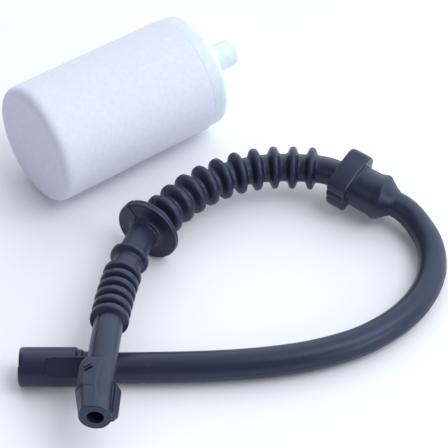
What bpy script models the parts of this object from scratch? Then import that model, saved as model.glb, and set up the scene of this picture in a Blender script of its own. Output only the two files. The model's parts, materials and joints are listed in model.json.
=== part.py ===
"""Weighted fuel filter and its moulded pick-up line, laid out loose on a bench.

The filter is a white felt cup on a nylon outlet cap, with a slotted core, a mesh sleeve and a steel
sinker inside. The line is black fuel rubber: carburettor nozzle, small bellows, wall flange, large
bellows and tank grommet, then the hose that hangs in the tank and ends in the filter's socket.
Metres, +Z up, the bench at z = 0, origin under the middle of the filter and the bellows line.
"""

import math

import bpy
from mathutils import Euler, Matrix, Vector

MM = 0.001
GAP = 0.3 * MM  # air left between neighbouring pieces
MERGE = 0.005 * MM  # merge distance of turned profiles

# Filter, along its own axis from the closed end
FELT_OD = 23.0 * MM  # at the closed end; moulding draft narrows it to the mouth
FELT_MOUTH_OD = 22.5 * MM
FELT_LENGTH = 33.2 * MM
FELT_WALL = 2.7 * MM
FELT_END_WALL = 3.0 * MM
FELT_EDGE = 1.6 * MM
CAP_OD = 22.1 * MM
CAP_SKIRT = 3.4 * MM
CAP_EDGE = 1.7 * MM
CAP_PLATE = 2.2 * MM
CAP_SPIGOT_LENGTH = 3.0 * MM
CAP_SPIGOT_WALL = 1.5 * MM
NIPPLE_LENGTH = 8.2 * MM
NIPPLE_BASE_OD = 6.2 * MM
NIPPLE_TIP_OD = 5.0 * MM
NIPPLE_EDGE = 0.5 * MM
NIPPLE_BORE = 2.8 * MM
FIT_CLEARANCE = 0.35 * MM  # radial air between the nested filter pieces
SCREEN_WALL = 0.4 * MM
CAGE_RIM = 1.2 * MM  # how far the cage's rims stand out from its tube
CAGE_WALL = 1.3 * MM
CAGE_RIM_WIDTH = 1.2 * MM
CAGE_BAYS = 3
CAGE_SLOTS = 6
CAGE_SLOT_WIDTH = 3.0 * MM
PLUG_FLANGE = 1.0 * MM
PLUG_SPIGOT = 1.6 * MM
SINKER_LENGTH = 8.0 * MM
SINKER_EDGE = 0.6 * MM
FILTER_PLACE = (-30.57 * MM, 17.36 * MM)
FILTER_HEADING = math.radians(35.8)

# Line, by stations along its centre line from the hose joint to the nozzle's tip
LINE_BORE = 2.9 * MM
CONE_LENGTH = 2.0 * MM
CONE_SMALL_OD = 4.8 * MM
RIDGE_OD = 8.6 * MM
RIDGE_WIDTH = 1.1 * MM
SLEEVE_OD = 7.8 * MM
SLEEVE_LENGTH = 4.5 * MM
COLLAR_ACROSS_CORNERS = 11.8 * MM
COLLAR_THICKNESS = 3.4 * MM
COLLAR_EDGE = 0.4 * MM
COLLAR_ROLL = math.radians(-24.0)
TAIL_LENGTH = 4.25 * MM
LARGE_RINGS = 10
LARGE_PITCH = 3.44 * MM
LARGE_OD = 7.7 * MM
LARGE_ROOT_OD = 5.05 * MM
LARGE_CREST = 0.36  # share of the pitch that the ring's flat crest takes
LARGE_BASE = 0.62  # share of the pitch that the ring's foot takes
ROOT_TUBE_LENGTH = 2.15 * MM
FLANGE_OD = 12.1 * MM
FLANGE_THICKNESS = 1.8 * MM
FLANGE_BEVEL = 0.5 * MM
FLANGE_BOSS_OD = 6.9 * MM
FLANGE_BOSS_HEIGHT = 0.5 * MM
NECK_LENGTH = 11.5 * MM
NECK_OD = 5.3 * MM
NECK_RING_AT = 7.8 * MM  # single convolution, from the flange's front face
NECK_RING_OD = 7.0 * MM
NECK_RING_CREST = 0.8 * MM
NECK_RING_BASE = 1.9 * MM
SMALL_RINGS = 6
SMALL_PITCH = 2.52 * MM
SMALL_OD = 6.8 * MM
SMALL_ROOT_OD = 5.2 * MM
SMALL_CREST = 0.30
SMALL_BASE = 0.52
NOZZLE_LENGTH = 22.4 * MM
NOZZLE_TUBE_OD = 5.2 * MM
NOZZLE_TIP_OD = 5.7 * MM
NOZZLE_TIP_EDGE = 0.25 * MM
CHEEK_WIDTH = 3.8 * MM
CHEEK_TOP = 2.25 * MM
CHEEK_BOTTOM = -1.6 * MM
CHEEK_START = 11.6 * MM  # distances back from the nozzle's tip
CHEEK_WIDEST = 5.2 * MM
CHEEK_END = 1.5 * MM
RAMP_START = 8.0 * MM  # the cheek's top slopes down from here towards the tip
RAMP_DROP = 1.1 * MM
FIN_WIDTH = 3.7 * MM
FIN_TOP = 0.5 * MM
FIN_BOTTOM = -1.6 * MM
FIN_START = 7.9 * MM
FIN_WIDEST = 6.7 * MM
FIN_END = 0.9 * MM
FIN_SLANT = 1.0 * MM
NOZZLE_CLEARANCE = 1.2 * MM  # under the nozzle's tube where it passes the filter socket

# In-tank hose and filter socket
HOSE_START_OD = 4.8 * MM
HOSE_END_OD = 5.5 * MM
SOCKET_OD = 6.96 * MM
SOCKET_LENGTH = 10.2 * MM
SOCKET_BORE = 5.0 * MM
SOCKET_DEPTH = 8.4 * MM
SOCKET_EDGE = 0.5 * MM
SOCKET_HOSE_END = (-20.75 * MM, -29.23 * MM)
PAD_LENGTH = 5.4 * MM
PAD_WIDTH = 3.8 * MM
PAD_HEIGHT = 0.25 * MM

SIDES_LARGE = 48
SIDES_TUBE = 24
SIDES_BELLOWS = 20

# Centre line of the hose on the bench, from the grommet's cone to the filter socket
HOSE_ROUTE = [
    (35.93, 9.75, 4.31),
    (37.40, 8.92, 3.92),
    (38.82, 7.57, 3.46),
    (40.35, 5.25, 3.00),
    (41.83, 1.62, 2.77),
    (42.33, -2.18, 2.64),
    (41.90, -6.38, 2.64),
    (40.50, -10.58, 2.69),
    (37.90, -14.88, 2.73),
    (34.10, -18.88, 2.77),
    (28.46, -22.72, 2.77),
    (21.36, -25.53, 2.79),
    (14.29, -27.15, 2.79),
    (7.52, -28.02, 2.79),
    (0.29, -28.51, 2.79),
    (-6.20, -28.70, 2.79),
    (-12.20, -28.88, 2.85),
    (-16.70, -29.08, 3.15),
    (-20.45, -29.23, 3.48),
]

STEPS_PER_SPAN = 12
STANDING_RISE = 0.1 * MM  # axis height over the radius of what stands on its rim
RESTING_RISE = 0.02 * MM  # under the filter and the hose

# Stations along the line that follow from the lengths above
GROMMET_LENGTH = CONE_LENGTH + RIDGE_WIDTH + SLEEVE_LENGTH + COLLAR_THICKNESS
TAIL_START = GROMMET_LENGTH
LARGE_START = TAIL_START + TAIL_LENGTH
LARGE_LENGTH = LARGE_RINGS * LARGE_PITCH
LARGE_TANK_RINGS = 4
LARGE_LINK_RINGS = 1
LARGE_LINK_START = LARGE_START + LARGE_TANK_RINGS * LARGE_PITCH
LARGE_LINK_END = LARGE_LINK_START + LARGE_LINK_RINGS * LARGE_PITCH
WALL_START = LARGE_START + LARGE_LENGTH
FLANGE_BACK = WALL_START + ROOT_TUBE_LENGTH
FLANGE_FRONT = FLANGE_BACK + FLANGE_THICKNESS
SMALL_START = FLANGE_FRONT + NECK_LENGTH
SMALL_WALL_RINGS = 2
SMALL_LINK_RINGS = 1
SMALL_LINK_START = SMALL_START + SMALL_WALL_RINGS * SMALL_PITCH
SMALL_LINK_END = SMALL_LINK_START + SMALL_LINK_RINGS * SMALL_PITCH
NOZZLE_START = SMALL_START + SMALL_RINGS * SMALL_PITCH
NOZZLE_TIP = NOZZLE_START + NOZZLE_LENGTH


def line_route():
    """Centre line from the hose joint to the nozzle's tip, in millimetres.

    The collar and the flange stand on their rims, and the nozzle passes over the socket.
    """
    collar = COLLAR_ACROSS_CORNERS / 2 / MM
    flange = (FLANGE_OD / 2 + STANDING_RISE) / MM
    nozzle = (SOCKET_OD + NOZZLE_CLEARANCE + NOZZLE_TUBE_OD / 2) / MM
    climb = nozzle - flange
    return [
        (35.70, 9.85, collar - 1.50),
        (31.40, 11.92, collar - 0.75),
        (27.52, 14.37, collar),
        (24.21, 16.42, collar),
        (20.54, 17.27, collar),
        (13.49, 17.44, collar),
        (6.87, 15.82, (collar + flange) / 2),
        (0.96, 12.42, flange),
        (-3.77, 8.14, flange),
        (-9.37, 0.90, flange),
        (-12.27, -6.51, flange + 0.12 * climb),
        (-13.89, -13.57, flange + 0.34 * climb),
        (-15.02, -21.47, flange + 0.64 * climb),
        (-15.75, -28.95, flange + 0.89 * climb),
        (-16.35, -36.45, nozzle),
        (-16.97, -47.28, nozzle + 0.35),
    ]


def clear_scene():
    """Removes every object, so the script can be run again in an open file."""
    for old in list(bpy.data.objects):
        bpy.data.objects.remove(old, do_unlink=True)


def new_collection(name):
    collection = bpy.data.collections.new(name)
    bpy.context.scene.collection.children.link(collection)
    return collection


def make_material(name, colour, roughness, metallic=0.0):
    material = bpy.data.materials.new(name)
    material.use_nodes = True
    shader = material.node_tree.nodes["Principled BSDF"]
    shader.inputs["Base Color"].default_value = (*colour, 1.0)
    shader.inputs["Roughness"].default_value = roughness
    shader.inputs["Metallic"].default_value = metallic
    return material


def add_object(name, data, collection, material=None):
    made = bpy.data.objects.new(name, data)
    collection.objects.link(made)
    if material is not None:
        data.materials.append(material)
    return made


def smooth_path(points, steps):
    """Catmull-Rom curve through points in millimetres, as vectors in metres."""
    knots = [Vector(p) * MM for p in points]
    knots = [2 * knots[0] - knots[1], *knots, 2 * knots[-1] - knots[-2]]
    path = []
    for before, start, end, after in zip(knots, knots[1:], knots[2:], knots[3:]):
        for step in range(steps):
            t = step / steps
            path.append(
                0.5
                * (
                    2 * start
                    + (end - before) * t
                    + (2 * before - 5 * start + 4 * end - after) * t**2
                    + (3 * start - before - 3 * end + after) * t**3
                )
            )
    path.append(knots[-2])
    return path


def station_point(path, station):
    """Point and direction at a distance along a path, straight on past its end."""
    travelled = 0.0
    for start, end in zip(path, path[1:]):
        step = (end - start).length
        if travelled + step >= station:
            break
        travelled += step
    direction = (end - start).normalized()
    return start + direction * (station - travelled), direction


def poly_curve(name, path, collection):
    curve = bpy.data.curves.new(name, "CURVE")
    curve.dimensions = "3D"
    curve.twist_mode = "Z_UP"
    spline = curve.splines.new("POLY")
    spline.points.add(len(path) - 1)
    for point, place in zip(spline.points, path):
        point.co = (*place, 1.0)
    return add_object(name, curve, collection)


def hide_tool(tool):
    tool.hide_render = True
    tool.display_type = "WIRE"


def turn(name, profile, closed, sides, collection, material=None):
    """Turned shape about Z from (radius, z) points that run down the outer side."""
    edges = [(i, i + 1) for i in range(len(profile) - 1)]
    if closed:
        edges.append((len(profile) - 1, 0))
    mesh = bpy.data.meshes.new(name)
    mesh.from_pydata([(radius, 0.0, z) for radius, z in profile], edges, [])
    turned = add_object(name, mesh, collection, material)
    screw = turned.modifiers.new("turn", "SCREW")
    screw.axis = "Z"
    screw.steps = sides
    screw.render_steps = sides
    screw.use_merge_vertices = True
    screw.merge_threshold = MERGE
    return turned


def plate(name, outline, low, high, collection):
    """Prism between two heights (local Y) from an outline of (x, z) points."""
    mesh = bpy.data.meshes.new(name)
    corners = [(x, (low + high) / 2, z) for x, z in outline]
    mesh.from_pydata(corners, [], [list(range(len(corners)))])
    made = add_object(name, mesh, collection)
    solidify = made.modifiers.new("thickness", "SOLIDIFY")
    solidify.thickness = high - low
    solidify.offset = 0.0
    hide_tool(made)
    return made


def cut(target, tool, operation="DIFFERENCE"):
    boolean = target.modifiers.new(tool.name, "BOOLEAN")
    boolean.operation = operation
    boolean.solver = "EXACT"
    boolean.object = tool


def lay_along(piece, guide):
    """Bends a piece that stands on Z so that its height runs along the guide."""
    bend = piece.modifiers.new("lay_along_line", "CURVE")
    bend.object = guide
    bend.deform_axis = "POS_Z"


def attach(piece, pivot):
    piece.parent = pivot
    piece.matrix_parent_inverse = pivot.matrix_world.inverted()


def add_pivot(name, place, collection):
    pivot = bpy.data.objects.new(name, None)
    pivot.empty_display_size = 4 * MM
    pivot.location = place
    collection.objects.link(pivot)
    bpy.context.view_layer.update()
    return pivot


def edge_arc(radius, z, size, first, last, steps=3):
    """Points of a rounded edge whose arc is centred at (radius, z), angles in degrees."""
    angles = [math.radians(first + (last - first) * i / steps) for i in range(steps + 1)]
    return [(radius + size * math.cos(a), z + size * math.sin(a)) for a in angles]


def ring_outline(start, rings, pitch, crest_od, root_od, crest, base):
    """Outer outline of a run of bellows rings, from its high end down to start."""
    outline = []
    for index in reversed(range(rings)):
        middle = start + (index + 0.5) * pitch
        outline += [
            (root_od / 2, middle + base * pitch / 2),
            (crest_od / 2, middle + crest * pitch / 2),
            (crest_od / 2, middle - crest * pitch / 2),
            (root_od / 2, middle - base * pitch / 2),
        ]
    return outline


def bore_side(start, end, step):
    """Inner side of a tube from start up to end, with points close enough to bend."""
    count = max(1, round((end - start) / step))
    return [(LINE_BORE / 2, start + (end - start) * i / count) for i in range(count + 1)]


def bellows_run(name, start, rings, pitch, sizes, collection, material):
    """Stretch of bellows between two stations, GAP / 2 short of each."""
    crest_od, root_od, crest, base = sizes
    low = start + GAP / 2
    high = start + rings * pitch - GAP / 2
    outer = [(root_od / 2, high)]
    outer += ring_outline(start, rings, pitch, crest_od, root_od, crest, base)
    outer.append((root_od / 2, low))
    profile = outer + bore_side(low, high, pitch)
    return turn(name, profile, True, SIDES_BELLOWS, collection, material)


def build_tail_tube(collection, material):
    low = TAIL_START + GAP / 2
    high = LARGE_START - GAP / 2
    outer = [(LARGE_ROOT_OD / 2, z) for _, z in reversed(bore_side(low, high, 1.6 * MM))]
    profile = outer + bore_side(low, high, 1.6 * MM)
    return turn("tail_tube", profile, True, SIDES_TUBE, collection, material)


def build_grommet(collection, tools, material):
    """Tank grommet: six-sided collar, sleeve, retaining ridge and cone to the hose."""
    ridge = CONE_LENGTH + RIDGE_WIDTH
    collar = ridge + SLEEVE_LENGTH
    top = GROMMET_LENGTH - GAP / 2
    overlap = COLLAR_THICKNESS / 2
    outer = [
        (0.0, collar + overlap),
        (SLEEVE_OD / 2, collar + overlap),
        (SLEEVE_OD / 2, ridge + 0.5 * MM),
        (RIDGE_OD / 2, ridge),
        (RIDGE_OD / 2, CONE_LENGTH),
        (CONE_SMALL_OD / 2, GAP / 2),
        (0.0, GAP / 2),
    ]
    grommet = turn("tank_grommet", outer, False, SIDES_TUBE, collection, material)
    bpy.ops.mesh.primitive_cylinder_add(
        vertices=6,
        radius=COLLAR_ACROSS_CORNERS / 2,
        depth=top - collar,
        location=(0, 0, (top + collar) / 2),
        rotation=(0, 0, COLLAR_ROLL),
    )
    hexagon = bpy.context.object
    hexagon.name = "collar_hexagon"
    move_to(hexagon, tools)
    bevel = hexagon.modifiers.new("edges", "BEVEL")
    bevel.width = COLLAR_EDGE
    bevel.segments = 2
    hide_tool(hexagon)
    cut(grommet, hexagon, "UNION")
    cut(grommet, bore_cutter("grommet_bore", 0.0, GROMMET_LENGTH, tools))
    return grommet


def move_to(made, collection):
    for owner in list(made.users_collection):
        owner.objects.unlink(made)
    collection.objects.link(made)


def bore_cutter(name, start, end, tools):
    past = 1 * MM
    profile = [(0.0, end + past), (LINE_BORE / 2, end + past)]
    profile += [(LINE_BORE / 2, start - past), (0.0, start - past)]
    cutter = turn(name, profile, False, SIDES_TUBE, tools)
    hide_tool(cutter)
    return cutter


def build_wall_flange(collection, material):
    """Root tube, bevelled flange, boss, neck tube and the neck's single convolution."""
    low = WALL_START + GAP / 2
    high = SMALL_START - GAP / 2
    ring = FLANGE_FRONT + NECK_RING_AT
    half_base = NECK_RING_BASE / 2
    half_crest = NECK_RING_CREST / 2
    outer = [
        (SMALL_ROOT_OD / 2, high),
        (SMALL_ROOT_OD / 2, ring + half_base),
        (NECK_RING_OD / 2, ring + half_crest),
        (NECK_RING_OD / 2, ring - half_crest),
        (NECK_OD / 2, ring - half_base),
        (NECK_OD / 2, (ring - half_base + FLANGE_FRONT) / 2),
        (NECK_OD / 2, FLANGE_FRONT + FLANGE_BOSS_HEIGHT),
        (FLANGE_BOSS_OD / 2, FLANGE_FRONT + FLANGE_BOSS_HEIGHT),
        (FLANGE_BOSS_OD / 2, FLANGE_FRONT),
        (FLANGE_OD / 2 - FLANGE_BEVEL, FLANGE_FRONT),
        (FLANGE_OD / 2, FLANGE_FRONT - FLANGE_BEVEL),
        (FLANGE_OD / 2, FLANGE_BACK + FLANGE_BEVEL),
        (FLANGE_OD / 2 - FLANGE_BEVEL, FLANGE_BACK),
        (LARGE_ROOT_OD / 2, FLANGE_BACK),
        (LARGE_ROOT_OD / 2, low),
    ]
    profile = outer + bore_side(low, high, 2.5 * MM)
    return turn("wall_flange", profile, True, SIDES_TUBE, collection, material)


def build_ramp_cutter(tools):
    """Block whose underside is the sloping top of the cheek."""
    slope = math.atan2(RAMP_DROP, RAMP_START - CHEEK_END)
    size = 2 * RAMP_START
    reach = size / 2
    turned = Matrix.Translation((0, CHEEK_TOP, NOZZLE_TIP - RAMP_START))
    turned @= Matrix.Rotation(-slope, 4, "X")
    bpy.ops.mesh.primitive_cube_add(size=size)
    block = bpy.context.object
    block.name = "ramp_cutter"
    block.matrix_world = turned @ Matrix.Translation((0, reach, reach))
    move_to(block, tools)
    hide_tool(block)
    return block


def build_nozzle(collection, tools, material):
    """Carburettor nozzle: tube, thick cheek with a ramp on its left, thin fin on its right."""
    low = NOZZLE_START + GAP / 2
    widest = NOZZLE_TIP - CHEEK_WIDEST
    outer = [
        (0.0, NOZZLE_TIP),
        (NOZZLE_TIP_OD / 2 - NOZZLE_TIP_EDGE, NOZZLE_TIP),
        (NOZZLE_TIP_OD / 2, NOZZLE_TIP - NOZZLE_TIP_EDGE),
        (NOZZLE_TUBE_OD / 2, widest),
        (NOZZLE_TUBE_OD / 2, (low + widest) / 2),
        (NOZZLE_TUBE_OD / 2, low),
        (0.0, low),
    ]
    nozzle = turn("carburettor_nozzle", outer, False, SIDES_TUBE, collection, material)
    cheek_outline = [
        (0.0, NOZZLE_TIP - CHEEK_START),
        (-CHEEK_WIDTH * 0.72, NOZZLE_TIP - CHEEK_START),
        (-CHEEK_WIDTH * 0.96, NOZZLE_TIP - CHEEK_START + 0.9 * MM),
        (-CHEEK_WIDTH, widest),
        (-NOZZLE_TIP_OD / 2, NOZZLE_TIP - CHEEK_END),
        (0.0, NOZZLE_TIP - CHEEK_END),
    ]
    cheek = plate("cheek", cheek_outline, CHEEK_BOTTOM, CHEEK_TOP, tools)
    cut(cheek, build_ramp_cutter(tools))
    cut(nozzle, cheek, "UNION")
    fin_outline = [
        (0.0, NOZZLE_TIP - FIN_START),
        (NOZZLE_TUBE_OD / 2, NOZZLE_TIP - FIN_START),
        (FIN_WIDTH, NOZZLE_TIP - FIN_WIDEST),
        (FIN_WIDTH, NOZZLE_TIP - FIN_END - FIN_SLANT),
        (NOZZLE_TUBE_OD / 2, NOZZLE_TIP - FIN_END),
        (0.0, NOZZLE_TIP - FIN_END),
    ]
    fin = plate("fin", fin_outline, FIN_BOTTOM, FIN_TOP, tools)
    cut(nozzle, fin, "UNION")
    cut(nozzle, bore_cutter("nozzle_bore", NOZZLE_START, NOZZLE_TIP, tools))
    return nozzle


def build_hose(collection, material):
    """In-tank hose, thicker towards the filter socket, as one tube along its route."""
    path = smooth_path(HOSE_ROUTE, 2)
    hose = poly_curve("pickup_hose", path, collection)
    hose.data.materials.append(material)
    hose.data.bevel_depth = HOSE_END_OD / 2
    hose.data.bevel_resolution = 4
    hose.data.use_fill_caps = True
    last = len(path) - 1
    for index, point in enumerate(hose.data.splines[0].points):
        share = min(1.0, 1.6 * index / last)
        point.radius = (HOSE_START_OD + (HOSE_END_OD - HOSE_START_OD) * share) / HOSE_END_OD
    return hose


def build_socket(collection, tools, material):
    """Filter socket: cuff that stretches over the filter's nipple, mouth facing -X."""
    radius = SOCKET_OD / 2
    bottom = 0.0
    outer = [(0.0, SOCKET_LENGTH)]
    outer += edge_arc(radius - SOCKET_EDGE, SOCKET_LENGTH - SOCKET_EDGE, SOCKET_EDGE, 90, 0)
    outer += edge_arc(radius - SOCKET_EDGE, bottom + SOCKET_EDGE, SOCKET_EDGE, 0, -90)
    outer.append((0.0, bottom))
    socket = turn("filter_socket", outer, False, SIDES_TUBE, collection, material)
    bore = [
        (0.0, SOCKET_LENGTH + 1 * MM),
        (SOCKET_BORE / 2, SOCKET_LENGTH + 1 * MM),
        (SOCKET_BORE / 2, SOCKET_LENGTH - SOCKET_DEPTH),
        (LINE_BORE / 2, SOCKET_LENGTH - SOCKET_DEPTH),
        (LINE_BORE / 2, -1 * MM),
        (0.0, -1 * MM),
    ]
    cutter = turn("socket_bore", bore, False, SIDES_TUBE, tools)
    hide_tool(cutter)
    pad_outline = [
        (-PAD_WIDTH / 2, 0.0),
        (PAD_WIDTH / 2, 0.0),
        (PAD_WIDTH / 2, PAD_LENGTH - 0.8 * MM),
        (PAD_WIDTH / 2 - 0.8 * MM, PAD_LENGTH),
        (-PAD_WIDTH / 2 + 0.8 * MM, PAD_LENGTH),
        (-PAD_WIDTH / 2, PAD_LENGTH - 0.8 * MM),
    ]
    pad = plate("socket_pad", pad_outline, 0.5 * radius, radius + PAD_HEIGHT, tools)
    cut(socket, pad, "UNION")
    cut(socket, cutter)
    place = Matrix.Translation((*SOCKET_HOSE_END, radius))
    turn_to_mouth = Matrix.Rotation(math.radians(-90), 4, "Y")
    face_front = Matrix.Rotation(math.radians(-135), 4, "Z")
    for piece in (socket, pad, cutter):
        piece.matrix_world = place @ turn_to_mouth @ face_front
    return socket


def felt_bore():
    return FELT_MOUTH_OD / 2 - FELT_WALL


def build_felt(collection, material):
    radius = FELT_OD / 2
    inner = felt_bore()
    profile = [(0.0, FELT_END_WALL), (inner, FELT_END_WALL), (inner, FELT_LENGTH)]
    profile.append((FELT_MOUTH_OD / 2, FELT_LENGTH))
    profile += edge_arc(radius - FELT_EDGE, FELT_EDGE, FELT_EDGE, 0, -90, 4)
    profile.append((0.0, 0.0))
    return turn("filter_felt", profile, False, SIDES_LARGE, collection, material)


def build_cap(collection, material):
    """Outlet cap: skirt, plate, spigot into the felt and the tapered nipple."""
    radius = CAP_OD / 2
    skirt = FELT_LENGTH + GAP
    shoulder = skirt + CAP_SKIRT
    tip = shoulder + NIPPLE_LENGTH
    spigot = felt_bore() - FIT_CLEARANCE
    profile = [(NIPPLE_BORE / 2, tip)]
    profile += edge_arc(NIPPLE_TIP_OD / 2 - NIPPLE_EDGE, tip - NIPPLE_EDGE, NIPPLE_EDGE, 90, 0)
    profile += [(NIPPLE_BASE_OD / 2, shoulder + 0.5 * MM)]
    profile += [(NIPPLE_BASE_OD / 2 + 0.5 * MM, shoulder)]
    profile += edge_arc(radius - CAP_EDGE, shoulder - CAP_EDGE, CAP_EDGE, 90, 0, 4)
    profile += [
        (radius, skirt),
        (spigot, skirt),
        (spigot, skirt - CAP_SPIGOT_LENGTH),
        (spigot - CAP_SPIGOT_WALL, skirt - CAP_SPIGOT_LENGTH),
        (spigot - CAP_SPIGOT_WALL, shoulder - CAP_PLATE),
        (NIPPLE_BORE / 2, shoulder - CAP_PLATE),
    ]
    return turn("outlet_cap", profile, True, SIDES_LARGE, collection, material)


def core_radii():
    """Screen's outer and inner radius, then the cage rim's, tube's and bore's."""
    screen_outer = felt_bore() - FIT_CLEARANCE
    screen_inner = screen_outer - SCREEN_WALL
    rim = screen_inner - FIT_CLEARANCE
    tube = rim - CAGE_RIM
    return screen_outer, screen_inner, rim, tube, tube - CAGE_WALL


def build_cage(collection, tools, material):
    """Slotted spool that holds the mesh away from the outlet and carries the sinker."""
    _, _, rim, tube, bore = core_radii()
    low = FELT_END_WALL + GAP + PLUG_FLANGE + GAP
    high = FELT_LENGTH + GAP + CAP_SKIRT - CAP_PLATE - GAP
    body_top = FELT_LENGTH + GAP - CAP_SPIGOT_LENGTH - GAP
    bay = (body_top - low - CAGE_RIM_WIDTH) / CAGE_BAYS
    outer = [(tube, high), (tube, body_top)]
    for index in reversed(range(CAGE_BAYS + 1)):
        rim_low = low + index * bay
        rim_high = rim_low + CAGE_RIM_WIDTH
        outer += [(rim, rim_high), (rim, rim_low)]
        if index:
            outer += [(tube, rim_low), (tube, rim_low - bay + CAGE_RIM_WIDTH)]
    profile = outer + [(bore, low), (bore, high)]
    cage = turn("core_cage", profile, True, SIDES_TUBE, collection, material)
    for level in range(1, CAGE_BAYS):
        middle = low + level * bay + (bay + CAGE_RIM_WIDTH) / 2
        height = bay - 2 * CAGE_RIM_WIDTH
        for index in range(CAGE_SLOTS // 2):
            bpy.ops.mesh.primitive_cube_add(
                size=1,
                location=(0, 0, middle),
                rotation=(0, 0, math.pi * index / (CAGE_SLOTS // 2)),
            )
            window = bpy.context.object
            window.name = f"cage_window_{level}_{index}"
            window.scale = (4 * rim, CAGE_SLOT_WIDTH, height)
            move_to(window, tools)
            hide_tool(window)
            window.parent = cage
            cut(cage, window)
    return cage


def build_screen(collection, material):
    outer, inner, _, _, _ = core_radii()
    low = FELT_END_WALL + GAP + PLUG_FLANGE + GAP
    high = FELT_LENGTH + GAP - CAP_SPIGOT_LENGTH - GAP
    profile = [(outer, high), (outer, low), (inner, low), (inner, high)]
    return turn("mesh_screen", profile, True, SIDES_LARGE, collection, material)


def build_end_plug(collection, material):
    _, _, rim, _, bore = core_radii()
    low = FELT_END_WALL + GAP
    step = low + PLUG_FLANGE
    spigot = bore - FIT_CLEARANCE
    profile = [(0.0, step + PLUG_SPIGOT), (spigot, step + PLUG_SPIGOT), (spigot, step)]
    profile += [(rim, step), (rim, low), (0.0, low)]
    return turn("cage_end_plug", profile, False, SIDES_TUBE, collection, material)


def build_sinker(collection, material):
    _, _, _, _, bore = core_radii()
    radius = bore - FIT_CLEARANCE
    low = FELT_END_WALL + GAP + PLUG_FLANGE + PLUG_SPIGOT + GAP
    high = low + SINKER_LENGTH
    profile = [(0.0, high), (radius - SINKER_EDGE, high), (radius, high - SINKER_EDGE)]
    profile += [(radius, low + SINKER_EDGE), (radius - SINKER_EDGE, low), (0.0, low)]
    return turn("sinker_weight", profile, False, SIDES_TUBE, collection, material)


def build_filter(parts, tools, materials):
    """All filter pieces on one empty that lies along the filter's axis."""
    pieces = [
        build_felt(parts, materials["felt"]),
        build_cap(parts, materials["nylon"]),
        build_cage(parts, tools, materials["cage"]),
        build_screen(parts, materials["mesh"]),
        build_end_plug(parts, materials["plug"]),
        build_sinker(parts, materials["steel"]),
    ]
    tilt = math.atan2((FELT_OD - FELT_MOUTH_OD) / 2, FELT_LENGTH - FELT_EDGE)
    height = FELT_OD / 2 * math.cos(tilt) + FELT_EDGE * math.sin(tilt) + RESTING_RISE
    axis = add_pivot("filter_axis", (*FILTER_PLACE, height), parts)
    axis.rotation_euler = Euler((0.0, math.pi / 2 + tilt, FILTER_HEADING))
    for piece in pieces:
        piece.parent = axis


def build_line(parts, tools, rubber):
    """All pieces of the moulded line, laid along the centre line and hung on their pivots."""
    path = smooth_path(line_route(), STEPS_PER_SPAN)
    guide = poly_curve("line_guide", path, tools)
    hide_tool(guide)
    large = (LARGE_OD, LARGE_ROOT_OD, LARGE_CREST, LARGE_BASE)
    small = (SMALL_OD, SMALL_ROOT_OD, SMALL_CREST, SMALL_BASE)
    large_wall_rings = LARGE_RINGS - LARGE_TANK_RINGS - LARGE_LINK_RINGS
    small_nozzle_rings = SMALL_RINGS - SMALL_WALL_RINGS - SMALL_LINK_RINGS
    runs = [
        ("large_bellows_tank_run", LARGE_START, LARGE_TANK_RINGS, LARGE_PITCH, large),
        ("large_bellows_mid_ring", LARGE_LINK_START, LARGE_LINK_RINGS, LARGE_PITCH, large),
        ("large_bellows_wall_run", LARGE_LINK_END, large_wall_rings, LARGE_PITCH, large),
        ("small_bellows_wall_run", SMALL_START, SMALL_WALL_RINGS, SMALL_PITCH, small),
        ("small_bellows_mid_ring", SMALL_LINK_START, SMALL_LINK_RINGS, SMALL_PITCH, small),
        ("small_bellows_nozzle_run", SMALL_LINK_END, small_nozzle_rings, SMALL_PITCH, small),
    ]
    made = {}
    for name, start, rings, pitch, sizes in runs:
        made[name] = bellows_run(name, start, rings, pitch, sizes, parts, rubber)
    made["tank_grommet"] = build_grommet(parts, tools, rubber)
    made["tail_tube"] = build_tail_tube(parts, rubber)
    made["wall_flange"] = build_wall_flange(parts, rubber)
    made["carburettor_nozzle"] = build_nozzle(parts, tools, rubber)
    for piece in made.values():
        lay_along(piece, guide)
    pivots = [
        ("large_swing_pivot", (LARGE_START + LARGE_LINK_START) / 2, ["large_bellows_mid_ring"]),
        (
            "large_lift_pivot",
            (LARGE_LINK_END + WALL_START) / 2,
            ["large_bellows_wall_run", "wall_flange"],
        ),
        (
            "small_swing_pivot",
            (SMALL_START + SMALL_LINK_START) / 2,
            ["small_bellows_wall_run", "small_bellows_mid_ring"],
        ),
        (
            "small_lift_pivot",
            (SMALL_LINK_END + NOZZLE_START) / 2,
            ["small_bellows_nozzle_run", "carburettor_nozzle"],
        ),
    ]
    for name, station, riders in pivots:
        place, _ = station_point(path, station)
        pivot = add_pivot(name, place, parts)
        for rider in riders:
            attach(made[rider], pivot)


def main():
    clear_scene()
    parts = new_collection("fuel_filter")
    tools = new_collection("cutters")
    rubber = make_material("black_fuel_rubber", (0.028, 0.032, 0.048), 0.45)
    materials = {
        "felt": make_material("white_felt", (0.80, 0.82, 0.88), 0.95),
        "nylon": make_material("natural_nylon", (0.62, 0.69, 0.77), 0.35),
        "cage": make_material("white_nylon", (0.75, 0.76, 0.74), 0.4),
        "mesh": make_material("nylon_mesh", (0.55, 0.57, 0.60), 0.7),
        "plug": make_material("grey_nylon", (0.45, 0.46, 0.48), 0.4),
        "steel": make_material("zinc_plated_steel", (0.56, 0.57, 0.58), 0.3, 1.0),
    }
    build_filter(parts, tools, materials)
    build_line(parts, tools, rubber)
    build_hose(parts, rubber)
    build_socket(parts, tools, rubber)


main()
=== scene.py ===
"""Weighted felt fuel filter and its moulded rubber fuel line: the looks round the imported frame.

The line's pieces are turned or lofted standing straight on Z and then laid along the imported
model's centre line, so every ring, rim and parting line is real geometry. Sizes are in metres.
"""

import json
import math
from bisect import bisect_right

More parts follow.
